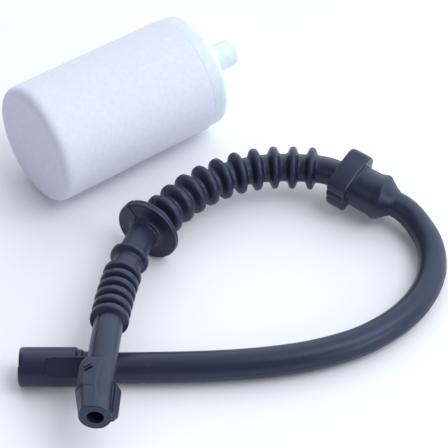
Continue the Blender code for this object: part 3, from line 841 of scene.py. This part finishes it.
class FUEL_OT_pickup_hose(bpy.types.Operator):
    """In-tank hose with its parting flash, the mark of its ejector pin and its flash bumps"""

    bl_idname = "fuel.pickup_hose"
    bl_label = "Pick-up hose"

    def execute(self, context):
        hose = sizes("fuel_hose")
        bore = sizes("fuel_line").bore / 2
        length = HOSE.stations[-1]
        seam = math.radians(180)
        half = math.radians(3.0)
        angles = spread_angles(72, (seam, 0.0), half)
        full_at = 1.6  # the hose has its full thickness this many times sooner than its end
        lip = -0.25 * MM  # reaches a little into the grommet's cone
        pip_radius = 0.72 * MM
        pip_angle, pip_station = math.radians(50), length - 11.4 * MM
        bumps_at, bumps_reach = 24 * MM, 14 * MM

        def radius_at(height):
            share = min(1.0, full_at * max(height, 0.0) / length)
            return (hose.start_od + (hose.end_od - hose.start_od) * share) / 2

        def skin(radius, height, angle):
            if radius <= bore + 0.01 * MM:
                return radius, height
            flash = 0.06 * MM * seam_flash(angle, seam, half)
            ragged = 1 + 0.7 * noise.noise(Vector((height / (1.3 * MM), math.cos(angle), 0)))
            wide = seam_flash(angle, seam, 3 * half)
            bumps = 0.16 * MM * wide * max(0.0, noise.noise(Vector((height / (2.1 * MM), 7, 1))))
            bumps *= math.exp(-(((height - bumps_at) / bumps_reach) ** 2))
            pip_turn = (angle - pip_angle) * radius / pip_radius
            pip_run = (height - pip_station) / pip_radius
            pip = 0.07 * MM * max(0.0, 1 - (pip_turn**2 + pip_run**2) ** 2)
            return radius + flash * ragged + bumps + pip, height

        count = 260
        heights = [length * i / count for i in range(count, -1, -1)]
        outer = [Vector((radius_at(height), height)) for height in heights]
        start = [Vector((radius_at(0), lip)), Vector((bore, lip))]
        inner = filled([Vector((bore, 0)), Vector((bore, length))], 1.2 * MM)
        mesh = turned("pickup_hose_skin", outer + start + inner, angles, skin)
        lay_mesh(mesh, HOSE)
        piece = add_piece("pickup_hose_skin", mesh, moulded_nitrile_rubber())
        stand_in(piece, "tank_side", "pickup_hose")
        context.scene["hose_piece"] = piece.name
        return {"FINISHED"}


class FUEL_OT_filter_socket(bpy.types.Operator):
    """Socket that stretches over the filter's nipple, with its grip pad, groove and lip"""

    bl_idname = "fuel.filter_socket"
    bl_label = "Filter socket"

    def execute(self, context):
        hose = sizes("fuel_hose")
        bore = sizes("fuel_line").bore / 2
        radius = hose.socket_od / 2
        mouth = hose.socket_length
        neck = hose.end_od / 2
        tail, floor = -1.05 * MM, 1.8 * MM
        corners = [
            (hose.socket_bore / 2, mouth, 0),
            (radius, mouth, 0.95 * MM),
            (radius, 0.35 * MM, 0.1 * MM),
            (radius - 0.25 * MM, 0.05 * MM, 0.05 * MM),
            (neck + 0.32 * MM, 0.0, 0.1 * MM),
            (neck + 0.28 * MM, -0.75 * MM, 0.2 * MM),
            (neck, tail, 0),
        ]
        outline = filled(rounded(corners), 0.5 * MM)
        outline += [Vector((bore, tail)), Vector((bore, floor))]
        outline += [Vector((hose.socket_bore / 2, floor))]
        seam = math.radians(48)
        half = math.radians(1.4)
        skin_step, mouth_step = 0.03 * MM, 0.16 * MM
        angles = spread_angles(120, (seam, seam + math.pi), half)

        def skin(r, height, angle):
            if r <= hose.socket_bore / 2 + 0.01 * MM:
                return r, height
            side = seam_step(angle, seam, half)
            shift = mouth_step * (1 - side) / 2 if height > mouth / 2 else 0.0
            return r + skin_step * side, height + shift

        mesh = turned("filter_socket_skin", outline, angles, skin)
        pad = self.pad(hose, radius)
        mesh = merged("filter_socket_skin", [mesh, pad], 0.085 * MM, 2)
        place = Vector((-20.75, -29.23, 3.48)) * MM
        # straight piece's X faces the near side, Y up, Z towards the mouth at -X
        turn = Matrix(((0, 0, -1), (-1, 0, 0), (0, 1, 0))).to_4x4()
        mesh.transform(Matrix.Translation(place) @ turn)
        rubber = moulded_nitrile_rubber()
        piece = add_piece("filter_socket_skin", mesh, rubber, math.radians(60))
        stand_in(piece, "tank_side", "filter_socket")
        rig.cord(
            bpy.data.objects[context.scene["hose_piece"]],
            exit=HOSE.points[0],
            length=HOSE.stations[-1],
            diameter=(hose.start_od + 2 * hose.end_od) / 3,
            far_end="fitting",
            stiffness="medium",
            lay="loose",
            path=HOSE.points,
            with_pieces=[piece],
        )
        return {"FINISHED"}

    @staticmethod
    def pad(hose, radius):
        """Flat pad on the side that faces near and up, with two rounded corners."""
        half = hose.pad_width / 2
        start, end, edge = -1.5 * MM, 5.4 * MM, 0.9 * MM
        outline = [(-half, start), (-half, end - edge)]
        turns = [math.radians(turn) for turn in (30, 60, 90)]
        for side, order in ((-1, turns), (1, reversed(turns))):
            outline += [
                (side * (half - edge * (1 - math.cos(a))), end - edge + edge * math.sin(a))
                for a in order
            ]
        outline += [(half, end - edge), (half, start)]
        heights = (radius - 1.2 * MM, radius + 0.1 * MM, radius + 0.25 * MM)
        insets = (0.0, 0.0, 0.1 * MM)
        sections = []
        for height, inset in zip(heights, insets):
            keep = 1 - inset / half
            sections.append([Vector((x * keep, height, z)) for x, z in outline])
        mesh = lofted("pad", sections)
        mesh.transform(Matrix.Rotation(PAD_TURN, 4, "Z"))
        return mesh


def merged(name, meshes, voxel, smoothing):
    """Closed skins that overlap, drawn together as one soft-edged moulding."""
    builder = bmesh.new()
    for mesh in meshes:
        builder.from_mesh(mesh)
        bpy.data.meshes.remove(mesh)
    together = bpy.data.meshes.new(name)
    builder.to_mesh(together)
    builder.free()
    piece = bpy.data.objects.new(name, together)
    bpy.context.scene.collection.objects.link(piece)
    remesh = piece.modifiers.new("skin", "REMESH")
    remesh.mode = "VOXEL"
    remesh.voxel_size = voxel
    soften = piece.modifiers.new("soften", "SMOOTH")
    soften.factor = 0.5
    soften.iterations = smoothing
    graph = bpy.context.evaluated_depsgraph_get()
    result = bpy.data.meshes.new_from_object(piece.evaluated_get(graph))
    bpy.data.objects.remove(piece, do_unlink=True)
    result.name = name
    return result


class FUEL_OT_tank_grommet(bpy.types.Operator):
    """Tank grommet: cone, retaining ridge, sleeve and six-sided collar, then the tail tube"""

    bl_idname = "fuel.tank_grommet"
    bl_label = "Tank grommet"

    def execute(self, context):
        line = sizes("fuel_line")
        marks = stations()
        sleeve = line.sleeve_od / 2
        corner = line.collar_corners / 2
        root = line.large_root / 2
        ridge_low = line.cone_length
        ridge_high = ridge_low + line.ridge_width
        hose = sizes("fuel_hose").start_od / 2
        corners = [
            (root, marks["tail"], 0),
            (root + 0.3 * MM, marks["tail"] - 0.01 * MM, 0),
            (corner, marks["tail"] - 0.01 * MM, 0.45 * MM),
            (corner, marks["collar"], 0.45 * MM),
            (sleeve, marks["collar"], 0.25 * MM),
            (sleeve + 0.08 * MM, ridge_high + 0.75 * MM, 0.3 * MM),
            (line.ridge_od / 2, ridge_high - 0.35 * MM, 0.16 * MM),
            (line.ridge_od / 2 - 0.02 * MM, ridge_low + 0.25 * MM, 0.16 * MM),
            (hose + 0.3 * MM, 0.25 * MM, 0.3 * MM),
            (hose + 0.02 * MM, -0.35 * MM, 0),
        ]
        outline = filled(rounded(corners), 0.45 * MM)
        outline += bore_back(-0.35 * MM, marks["tail"], 1.0 * MM)

        def skin(radius, height, angle):
            """Round sleeve to six-sided collar, with the change between them in its face."""
            outside = radius - sleeve - 0.2 * MM
            if outside > 0 and height > marks["collar"] - 0.5 * MM:
                share = min(1.0, outside / (corner - sleeve - 0.7 * MM))
                radius *= 1 + (self.collar_side(angle) - 1) * share
                for groove in COLLAR_GROOVES:
                    off = ((angle - groove + math.pi) % (2 * math.pi) - math.pi) / COLLAR_GROOVE
                    radius -= COLLAR_GROOVE_DEPTH * share * max(0.0, 1 - off * off)
            return with_seam(radius, height, angle)

        angles = spread_angles(144, (LINE_SEAM, LINE_SEAM + math.pi), SEAM_HALF)
        line_piece(
            "tank_grommet_skin", outline, "tank_side", "tank_grommet", skin, angles=angles
        )
        low, high = marks["tail"], marks["large"]
        tube = filled([Vector((root, high)), Vector((root, low))], 0.8 * MM)
        tube += bore_back(low, high, 0.8 * MM)
        line_piece("tail_tube_skin", tube, "tank_side", "tail_tube")
        return {"FINISHED"}

    @staticmethod
    def collar_side(angle):
        """Distance of the collar's side at an angle as a share of its corners' distance."""
        angle = (angle - COLLAR_CORNERS[0]) % (2 * math.pi) + COLLAR_CORNERS[0]
        corners = [*COLLAR_CORNERS, COLLAR_CORNERS[0] + 2 * math.pi]
        for start, end in zip(corners, corners[1:]):
            if angle <= end:
                flat = math.cos((end - start) / 2) / math.cos(angle - (start + end) / 2)
                crowned = flat + COLLAR_CROWN * (1 - flat)
                sharp = CORNER_SHARPNESS
                return (crowned**-sharp + COLLAR_FULL**-sharp) ** (-1 / sharp)
        return 1.0


class FUEL_OT_large_bellows(bpy.types.Operator):
    """Large bellows of ten rings, slim at the grommet and fat at the flange"""

    bl_idname = "fuel.large_bellows"
    bl_label = "Large bellows"

    def execute(self, context):
        line = sizes("fuel_line")
        marks = stations()
        middles = [marks["large"] + (i + 0.5) * line.large_pitch for i in range(10)]
        rings = [large_ring(middle, i / 9) for i, middle in enumerate(middles)]
        root = line.large_root / 2
        tank, link, wall = "tank_side", "large_link", "wall_side"
        runs = [
            ("large_bellows_tank_run", "large", "large_link", rings[:4], (tank, link)),
            ("large_bellows_mid_ring", "large_link", "large_wall", rings[4:5], link),
            ("large_bellows_wall_run", "large_wall", "wall", rings[5:], (link, wall)),
        ]
        build_runs(runs, marks, root)
        return {"FINISHED"}


class FUEL_OT_small_bellows(bpy.types.Operator):
    """Small bellows of six thick rings between the neck and the nozzle"""

    bl_idname = "fuel.small_bellows"
    bl_label = "Small bellows"

    def execute(self, context):
        line = sizes("fuel_line")
        marks = stations()
        rings = [small_ring(marks["small"] + (i + 0.5) * line.small_pitch) for i in range(6)]
        root = line.small_root / 2
        wall, link, nozzle = "wall_side", "small_link", "nozzle_side"
        runs = [
            ("small_bellows_wall_run", "small", "small_link", rings[:2], (wall, link)),
            ("small_bellows_mid_ring", "small_link", "small_nozzle", rings[2:3], link),
            ("small_bellows_nozzle_run", "small_nozzle", "nozzle", rings[3:], (link, nozzle)),
        ]
        build_runs(runs, marks, root)
        return {"FINISHED"}


def build_runs(runs, marks, root):
    """Builds the stretches of a bellows; one that lies between two bodies bends with both."""
    for node, low, high, rings, body in runs:
        corners = [(root, marks[high], 0)]
        for ring in reversed(rings):
            corners += ring
        corners.append((root, marks[low], 0))
        outline = filled(rounded(corners), 0.8 * MM)
        outline += bore_back(marks[low], marks[high], 0.8 * MM)
        ends = None if isinstance(body, str) else (marks[low], marks[high])
        line_piece(f"{node}_skin", outline, body, node, blend=ends)


class FUEL_OT_wall_flange(bpy.types.Operator):
    """Wall flange with its bevelled rim and two-faced front, and the neck with its single ring"""

    bl_idname = "fuel.wall_flange"
    bl_label = "Wall flange"

    def execute(self, context):
        line = sizes("fuel_line")
        marks = stations()
        front, back = marks["flange_front"], marks["flange_back"]
        rim = line.flange_od / 2
        small_root = line.small_root / 2
        neck = small_root + 0.05 * MM
        root = line.large_root / 2
        corners = [(small_root, marks["small"], 0)]
        corners += ring_corners(
            front + line.neck_ring_at,
            small_root,
            line.small_od / 2 + 0.1 * MM,
            1.9 * MM,
            1.0 * MM,
            (0.3 * MM, 0.34 * MM),
        )
        corners += [
            (neck, front + 0.75 * MM, 0.25 * MM),
            (neck + 0.42 * MM, front + 0.5 * MM, 0.12 * MM),
            (neck + 0.6 * MM, front + 0.02 * MM, 0.2 * MM),
            (rim - 0.32 * MM, front, 0.05 * MM),
            (rim, front - 0.32 * MM, 0.06 * MM),
            (rim, front - 0.85 * MM, 0.02 * MM),
            (rim - 0.07 * MM, front - 0.95 * MM, 0.02 * MM),
            (rim, front - 1.05 * MM, 0.02 * MM),
            (rim, back + 0.3 * MM, 0.06 * MM),
            (rim - 0.3 * MM, back, 0.05 * MM),
            (root, back, 0.35 * MM),
            (root, marks["wall"], 0),
        ]
        outline = filled(rounded(corners), 0.35 * MM)
        outline += bore_back(marks["wall"], marks["small"], 0.8 * MM)
        face = rim - neck

        def skin(radius, height, angle):
            """Each mould half leaves its own side of the flange's face, hipped along the seam."""
            radius, height = with_seam(radius, height, angle)
            if neck + 0.7 * MM < radius < rim - 0.1 * MM and abs(height - front) < 0.2 * MM:
                across = abs(math.sin(angle - LINE_SEAM)) * radius
                ease = min(1.0, (radius - neck - 0.7 * MM) / (0.15 * face))
                height -= FACE_SLOPE * across * ease
                height -= FACE_GROOVE * seam_flash(angle, LINE_SEAM, SEAM_HALF)
            return radius, height

        line_piece("wall_flange_skin", outline, "wall_side", "wall_flange", skin)
        return {"FINISHED"}


class FUEL_OT_nozzle(bpy.types.Operator):
    """Carburettor nozzle: tube, thick keyed cheek on one side, thin fin on the other"""

    bl_idname = "fuel.nozzle"
    bl_label = "Carburettor nozzle"

    def execute(self, context):
        line = sizes("fuel_line")
        marks = stations()
        low, tip = marks["nozzle"], marks["tip"]
        tube = line.small_root / 2
        end = line.nozzle_tip / 2
        corners = [
            (line.bore / 2, tip, 0),
            (end, tip, 0.14 * MM),
            (tube, tip - 3.4 * MM, 0),
            (tube, low, 0),
        ]
        outline = filled(rounded(corners), 0.5 * MM) + bore_back(low, tip, 0.6 * MM)[:-1]
        mesh = turned("carburettor_nozzle_skin", outline, LINE_ANGLES, with_seam)
        additions = [self.cheek(line, tip), self.fin(line, tip), self.nib(tip)]
        mesh = merged("carburettor_nozzle_skin", [mesh, *additions], 0.07 * MM, 1)
        self.carve(mesh, tip)
        lay_mesh(mesh, LINE)
        rubber = moulded_nitrile_rubber()
        piece = add_piece("carburettor_nozzle_skin", mesh, rubber, math.radians(60))
        stand_in(piece, "nozzle_side", "carburettor_nozzle")
        return {"FINISHED"}

    @staticmethod
    def cheek(line, tip):
        """Keyed cheek: flat top above the tube's crown, chamfered, then a ramp to the tip."""
        width = line.cheek_width / MM
        end = line.nozzle_tip / 2 / MM
        # back from the tip, outer width, chamfer's width, top, right end of the top,
        # its slanted side, width of the steep side below the chamfer, its foot's height
        stages = [
            (11.5, width - 1.25, 0.5, 2.5, -0.15, 1.0, 0.2, 0.85),
            (11.1, width - 0.9, 0.7, 2.86, -0.10, 1.05, 0.25, 1.1),
            (10.3, width - 0.3, 1.0, 2.86, -0.16, 0.95, 0.3, 1.3),
            (7.9, width - 0.15, 1.1, 2.82, -0.42, 0.35, 0.3, 1.3),
            (5.3, width - 0.05, 1.2, 2.76, -0.55, 0.2, 0.4, 1.2),
            (4.9, width - 0.05, 1.25, 2.74, -0.5, 0.2, 0.5, 1.1),
            (4.78, width - 0.05, 1.45, 2.68, -0.4, 0.16, 0.85, 0.6),
            (0.06, end, 0.9, 2.72, 0.3, 0.1, 0.6, 0.6),
        ]
        sections = []
        for back, outer, chamfer, top, right, slant, steep, shoulder in stages:
            points = [
                (right, top),
                (-outer + chamfer, top),
                (-outer + steep, top - 0.8 * (chamfer - steep)),
                (-outer, shoulder),
                (-outer, 0.05),
                (-outer + 1.0, -1.2),
                (-1.6, -1.2),
                (-1.6, 1.2),
                (right + slant, top - slant * 0.5),
            ]
            sections.append([Vector((x, y, 0)) * MM + UP * (tip - back * MM) for x, y in points])
        return lofted("cheek", sections)

    @staticmethod
    def fin(line, tip):
        """Thin fin, dropping steeply from a crisp inner edge to its outer edge."""
        width = line.fin_width / MM
        # back from the tip, outer width, inner edge, its height
        stages = [
            (7.9, 2.75, 2.4, 0.95),
            (6.6, width + 0.1, 3.05, 1.1),
            (1.1, width, 2.95, 0.95),
            (0.2, 3.05, 2.75, 0.3),
        ]
        sections = []
        for back, outer, edge, height in stages:
            points = [
                (edge, height),
                (outer, -0.4),
                (outer, -1.05),
                (1.6, -1.5),
                (1.6, 0.7),
                (edge - 0.28, height - 0.28),
            ]
            sections.append([Vector((x, y, 0)) * MM + UP * (tip - back * MM) for x, y in points])
        return lofted("fin", sections)

    @staticmethod
    def nib(tip):
        """Small raised bar across the cheek's flat top."""
        block = bmesh.new()
        bmesh.ops.create_cube(block, size=1.0)
        bmesh.ops.scale(block, vec=(0.42 * MM, 1.3 * MM, 1.6 * MM), verts=block.verts)
        mesh = bpy.data.meshes.new("nib")
        block.to_mesh(mesh)
        block.free()
        place = Matrix.Translation(NIB_PLACE * MM + UP * tip)
        mesh.transform(place @ Matrix.Rotation(NIB_TURN, 4, "Y"))
        return mesh

    @staticmethod
    def carve(mesh, tip):
        """Presses in the key pocket beside the bar, and the parting groove along the bare tube."""
        along = Vector((math.sin(NIB_TURN), math.cos(NIB_TURN)))
        across = Vector((along.y, -along.x))
        middle = Vector((NIB_PLACE.x, NIB_PLACE.z)) + across * 0.56
        half_length, half_width, depth = 0.75, 0.26, 0.5 * MM
        cheek_end = tip - 11.3 * MM
        for vertex in mesh.vertices:
            spot = Vector((vertex.co.x, vertex.co.z - tip)) / MM - middle
            reach = max(abs(spot.dot(along)) / half_length, abs(spot.dot(across)) / half_width)
            if reach < 1.0 and vertex.co.y > 2.0 * MM:
                vertex.co.y -= depth * min(1.0, 3.0 * (1.0 - reach))
            radius = math.hypot(vertex.co.x, vertex.co.y)
            if 2.3 * MM < radius < 2.75 * MM and vertex.co.z < cheek_end:
                angle = math.atan2(vertex.co.y, vertex.co.x)
                press = TUBE_GROOVE * seam_flash(angle, LINE_SEAM, 1.3 * SEAM_HALF)
                vertex.co.x -= press * math.cos(angle)
                vertex.co.y -= press * math.sin(angle)
        mesh.update()


def filter_axis():
    """Place of the filter: its closed end's centre, and its axis along Z."""
    felt = sizes("fuel_filter")
    tilt = math.atan2((felt.felt_od - felt.mouth_od) / 2, felt.felt_length - 1.6 * MM)
    height = felt.felt_od / 2 * math.cos(tilt) + 1.6 * MM * math.sin(tilt) + 0.02 * MM
    place = Matrix.Translation((-30.57 * MM, 17.36 * MM, height))
    heading = Matrix.Rotation(math.radians(35.8), 4, "Z")
    return place @ heading @ Matrix.Rotation(math.pi / 2 + tilt, 4, "Y")


def filter_piece(name, mesh, node, material, slot, sharp=math.radians(40)):
    """A piece turned standing on Z, laid down with the filter."""
    mesh.transform(filter_axis())
    return stand_in(add_piece(name, mesh, material, sharp), "filter", node, slot)


class FUEL_OT_felt_cup(bpy.types.Operator):
    """Felt cup: a drafted tube with a rounded closed end and the slight unevenness of felt"""

    bl_idname = "fuel.felt_cup"
    bl_label = "Felt cup"

    def execute(self, context):
        felt = sizes("fuel_filter")
        inner = felt.mouth_od / 2 - felt.felt_wall
        floor = 3.0 * MM
        corners = [
            (0, floor, 0),
            (inner, floor, 0.4 * MM),
            (inner, felt.felt_length, 0),
            (felt.mouth_od / 2, felt.felt_length, 0.15 * MM),
            (felt.felt_od / 2, 0, felt.felt_edge),
            (0, 0, 0),
        ]
        outline = filled(rounded(corners, 8), 0.7 * MM)

        def skin(radius, height, angle):
            if radius < inner + 0.1 * MM and height > 1.0 * MM:
                return radius, height
            spot = Vector((radius * math.cos(angle), radius * math.sin(angle), height)) / MM
            waves = noise.noise(spot / 3.5) * 0.045 * MM
            tufts = noise.noise(spot / 0.8) * 0.018 * MM
            if height < 0.5 * MM:
                return radius, height + waves + tufts
            return radius + waves + tufts, height

        mesh = turned("filter_felt_skin", outline, spread_angles(192), skin)
        filter_piece("filter_felt_skin", mesh, "filter_felt", bonded_fibre_felt(), "felt")
        return {"FINISHED"}


class FUEL_OT_outlet_cap(bpy.types.Operator):
    """Nylon cap: rounded rim, spigot into the felt and the tapered nipple"""

    bl_idname = "fuel.outlet_cap"
    bl_label = "Outlet cap"

    def execute(self, context):
        cap = sizes("fuel_filter")
        skirt = cap.felt_length + 0.05 * MM
        shoulder = cap.felt_length + 0.3 * MM + cap.cap_skirt
        tip = shoulder + cap.nipple_length
        radius = cap.cap_od / 2
        spigot = cap.mouth_od / 2 - cap.felt_wall - 0.35 * MM
        bore = cap.nipple_bore / 2
        corners = [
            (bore, tip - 0.2 * MM, 0),
            (bore + 0.2 * MM, tip, 0),
            (cap.nipple_tip / 2, tip, 0.55 * MM),
            (cap.nipple_base / 2, shoulder, 0.45 * MM),
            (radius, shoulder, 1.7 * MM),
            (radius, skirt, 0.2 * MM),
            (spigot, skirt, 0),
            (spigot, skirt - 3.0 * MM, 0.3 * MM),
            (spigot - 1.5 * MM, skirt - 3.0 * MM, 0.3 * MM),
            (spigot - 1.5 * MM, shoulder - 2.2 * MM, 0.3 * MM),
            (bore, shoulder - 2.2 * MM, 0),
        ]
        outline = filled(rounded(corners, 8), 0.7 * MM)
        mesh = turned("outlet_cap_skin", outline, spread_angles(144))
        filter_piece("outlet_cap_skin", mesh, "outlet_cap", natural_nylon(), "natural_nylon")
        return {"FINISHED"}


class FUEL_OT_filter_core(bpy.types.Operator):
    """Core, mesh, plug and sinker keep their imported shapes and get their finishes"""

    bl_idname = "fuel.filter_core"
    bl_label = "Filter core"

    def execute(self, context):
        finishes = {
            "core_cage": white_nylon(),
            "mesh_screen": woven_nylon_mesh(),
            "cage_end_plug": grey_nylon(),
            "sinker_weight": zinc_plated_steel(),
        }
        for node, material in finishes.items():
            for slot in frame["nodes"][node].material_slots:
                slot.material = material
        return {"FINISHED"}


class FUEL_OT_stage(bpy.types.Operator):
    """Pale bench with soft studio light"""

    bl_idname = "fuel.stage"
    bl_label = "Stage"

    def execute(self, context):
        colour = sizes("fuel_finishes").floor
        low, high = CAD_BOX
        reach = 1.5
        mesh = bpy.data.meshes.new("bench")
        corners = [(-reach, -reach), (reach, -reach), (reach, reach), (-reach, reach)]
        mesh.from_pydata([(x, y, low.z - 0.02 * MM) for x, y in corners], [], [(0, 1, 2, 3)])
        bench = bpy.data.objects.new("bench", mesh)
        context.scene.collection.objects.link(bench)
        material, shader = new_material("matt_bench_paint", "#ffffff", 0.85)
        shader.inputs["Base Color"].default_value = (*colour, 1.0)
        mesh.materials.append(material)
        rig.stage(bench)
        context.scene.view_settings.view_transform = "Standard"
        world = bpy.data.worlds.new("studio")
        context.scene.world = world
        world.use_nodes = True
        sky = world.node_tree.nodes["Background"]
        sky.inputs["Color"].default_value = (0.88, 0.93, 1.0, 1.0)
        # the studio's white wall stands behind and to the right, its dark side towards the front
        place = add_node(world, "ShaderNodeTexCoord")
        wall = add_node(
            world,
            "ShaderNodeVectorMath",
            [(place.outputs["Generated"], 0)],
            operation="DOT_PRODUCT",
        )
        wall.inputs[1].default_value = Vector((0.52, 0.78, 0.34)).normalized()
        glow = add_node(
            world,
            "ShaderNodeMapRange",
            [(wall.outputs["Value"], "Value")],
            interpolation_type="SMOOTHSTEP",
            From_Min=0.1,
            From_Max=0.85,
            To_Min=0.32,
            To_Max=1.85,
        )
        world.node_tree.links.new(glow.outputs["Result"], sky.inputs["Strength"])
        self.softbox("key_softbox", (0.34, -0.12, 0.58), 0.4, 1.7)
        self.softbox("side_softbox", (0.55, -0.42, 0.22), 0.3, 1.3)
        self.softbox("fill_softbox", (-0.4, -0.42, 0.42), 0.35, 0.25)
        return {"FINISHED"}

    @staticmethod
    def softbox(name, place, size, power):
        data = bpy.data.lights.new(name, "AREA")
        data.shape = "SQUARE"
        data.size = size
        data.energy = power
        data.color = (0.93, 0.96, 1.0)
        light = bpy.data.objects.new(name, data)
        bpy.context.scene.collection.objects.link(light)
        light.location = place
        light.rotation_euler = (-Vector(place)).to_track_quat("-Z", "Y").to_euler()


class FUEL_PT_panel(bpy.types.Panel):
    """Buttons that build the parts, in order"""

    bl_idname = "FUEL_PT_panel"
    bl_label = "Fuel filter"
    bl_space_type = "VIEW_3D"
    bl_region_type = "UI"
    bl_category = "Fuel filter"

    def draw(self, context):
        for operator in OPERATORS:
            self.layout.operator(operator.bl_idname)


OPERATORS = (
    FUEL_OT_camera,
    FUEL_OT_pickup_hose,
    FUEL_OT_filter_socket,
    FUEL_OT_tank_grommet,
    FUEL_OT_large_bellows,
    FUEL_OT_wall_flange,
    FUEL_OT_small_bellows,
    FUEL_OT_nozzle,
    FUEL_OT_felt_cup,
    FUEL_OT_outlet_cap,
    FUEL_OT_filter_core,
    FUEL_OT_stage,
)
GROUPS = {
    "fuel_filter": FilterSizes,
    "fuel_line": LineSizes,
    "fuel_hose": HoseSizes,
    "fuel_finishes": Finishes,
}


def register():
    for group in GROUPS.values():
        bpy.utils.register_class(group)
    for name, group in GROUPS.items():
        setattr(bpy.types.Scene, name, PointerProperty(type=group))
    for operator in (*OPERATORS, FUEL_PT_panel):
        bpy.utils.register_class(operator)


def unregister():
    for operator in (*OPERATORS, FUEL_PT_panel):
        bpy.utils.unregister_class(operator)
    for name, group in GROUPS.items():
        delattr(bpy.types.Scene, name)
        bpy.utils.unregister_class(group)


def main():
    register()
    for operator in OPERATORS:
        section, _, name = operator.bl_idname.partition(".")
        getattr(getattr(bpy.ops, section), name)()
    boxes = {
        "cad": [list(corner) for corner in CAD_BOX],
        "visual": [list(corner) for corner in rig.bounds()],
    }
    with open("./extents.json", "w") as file:
        json.dump(boxes, file)


if __name__ == "__main__":
    main()
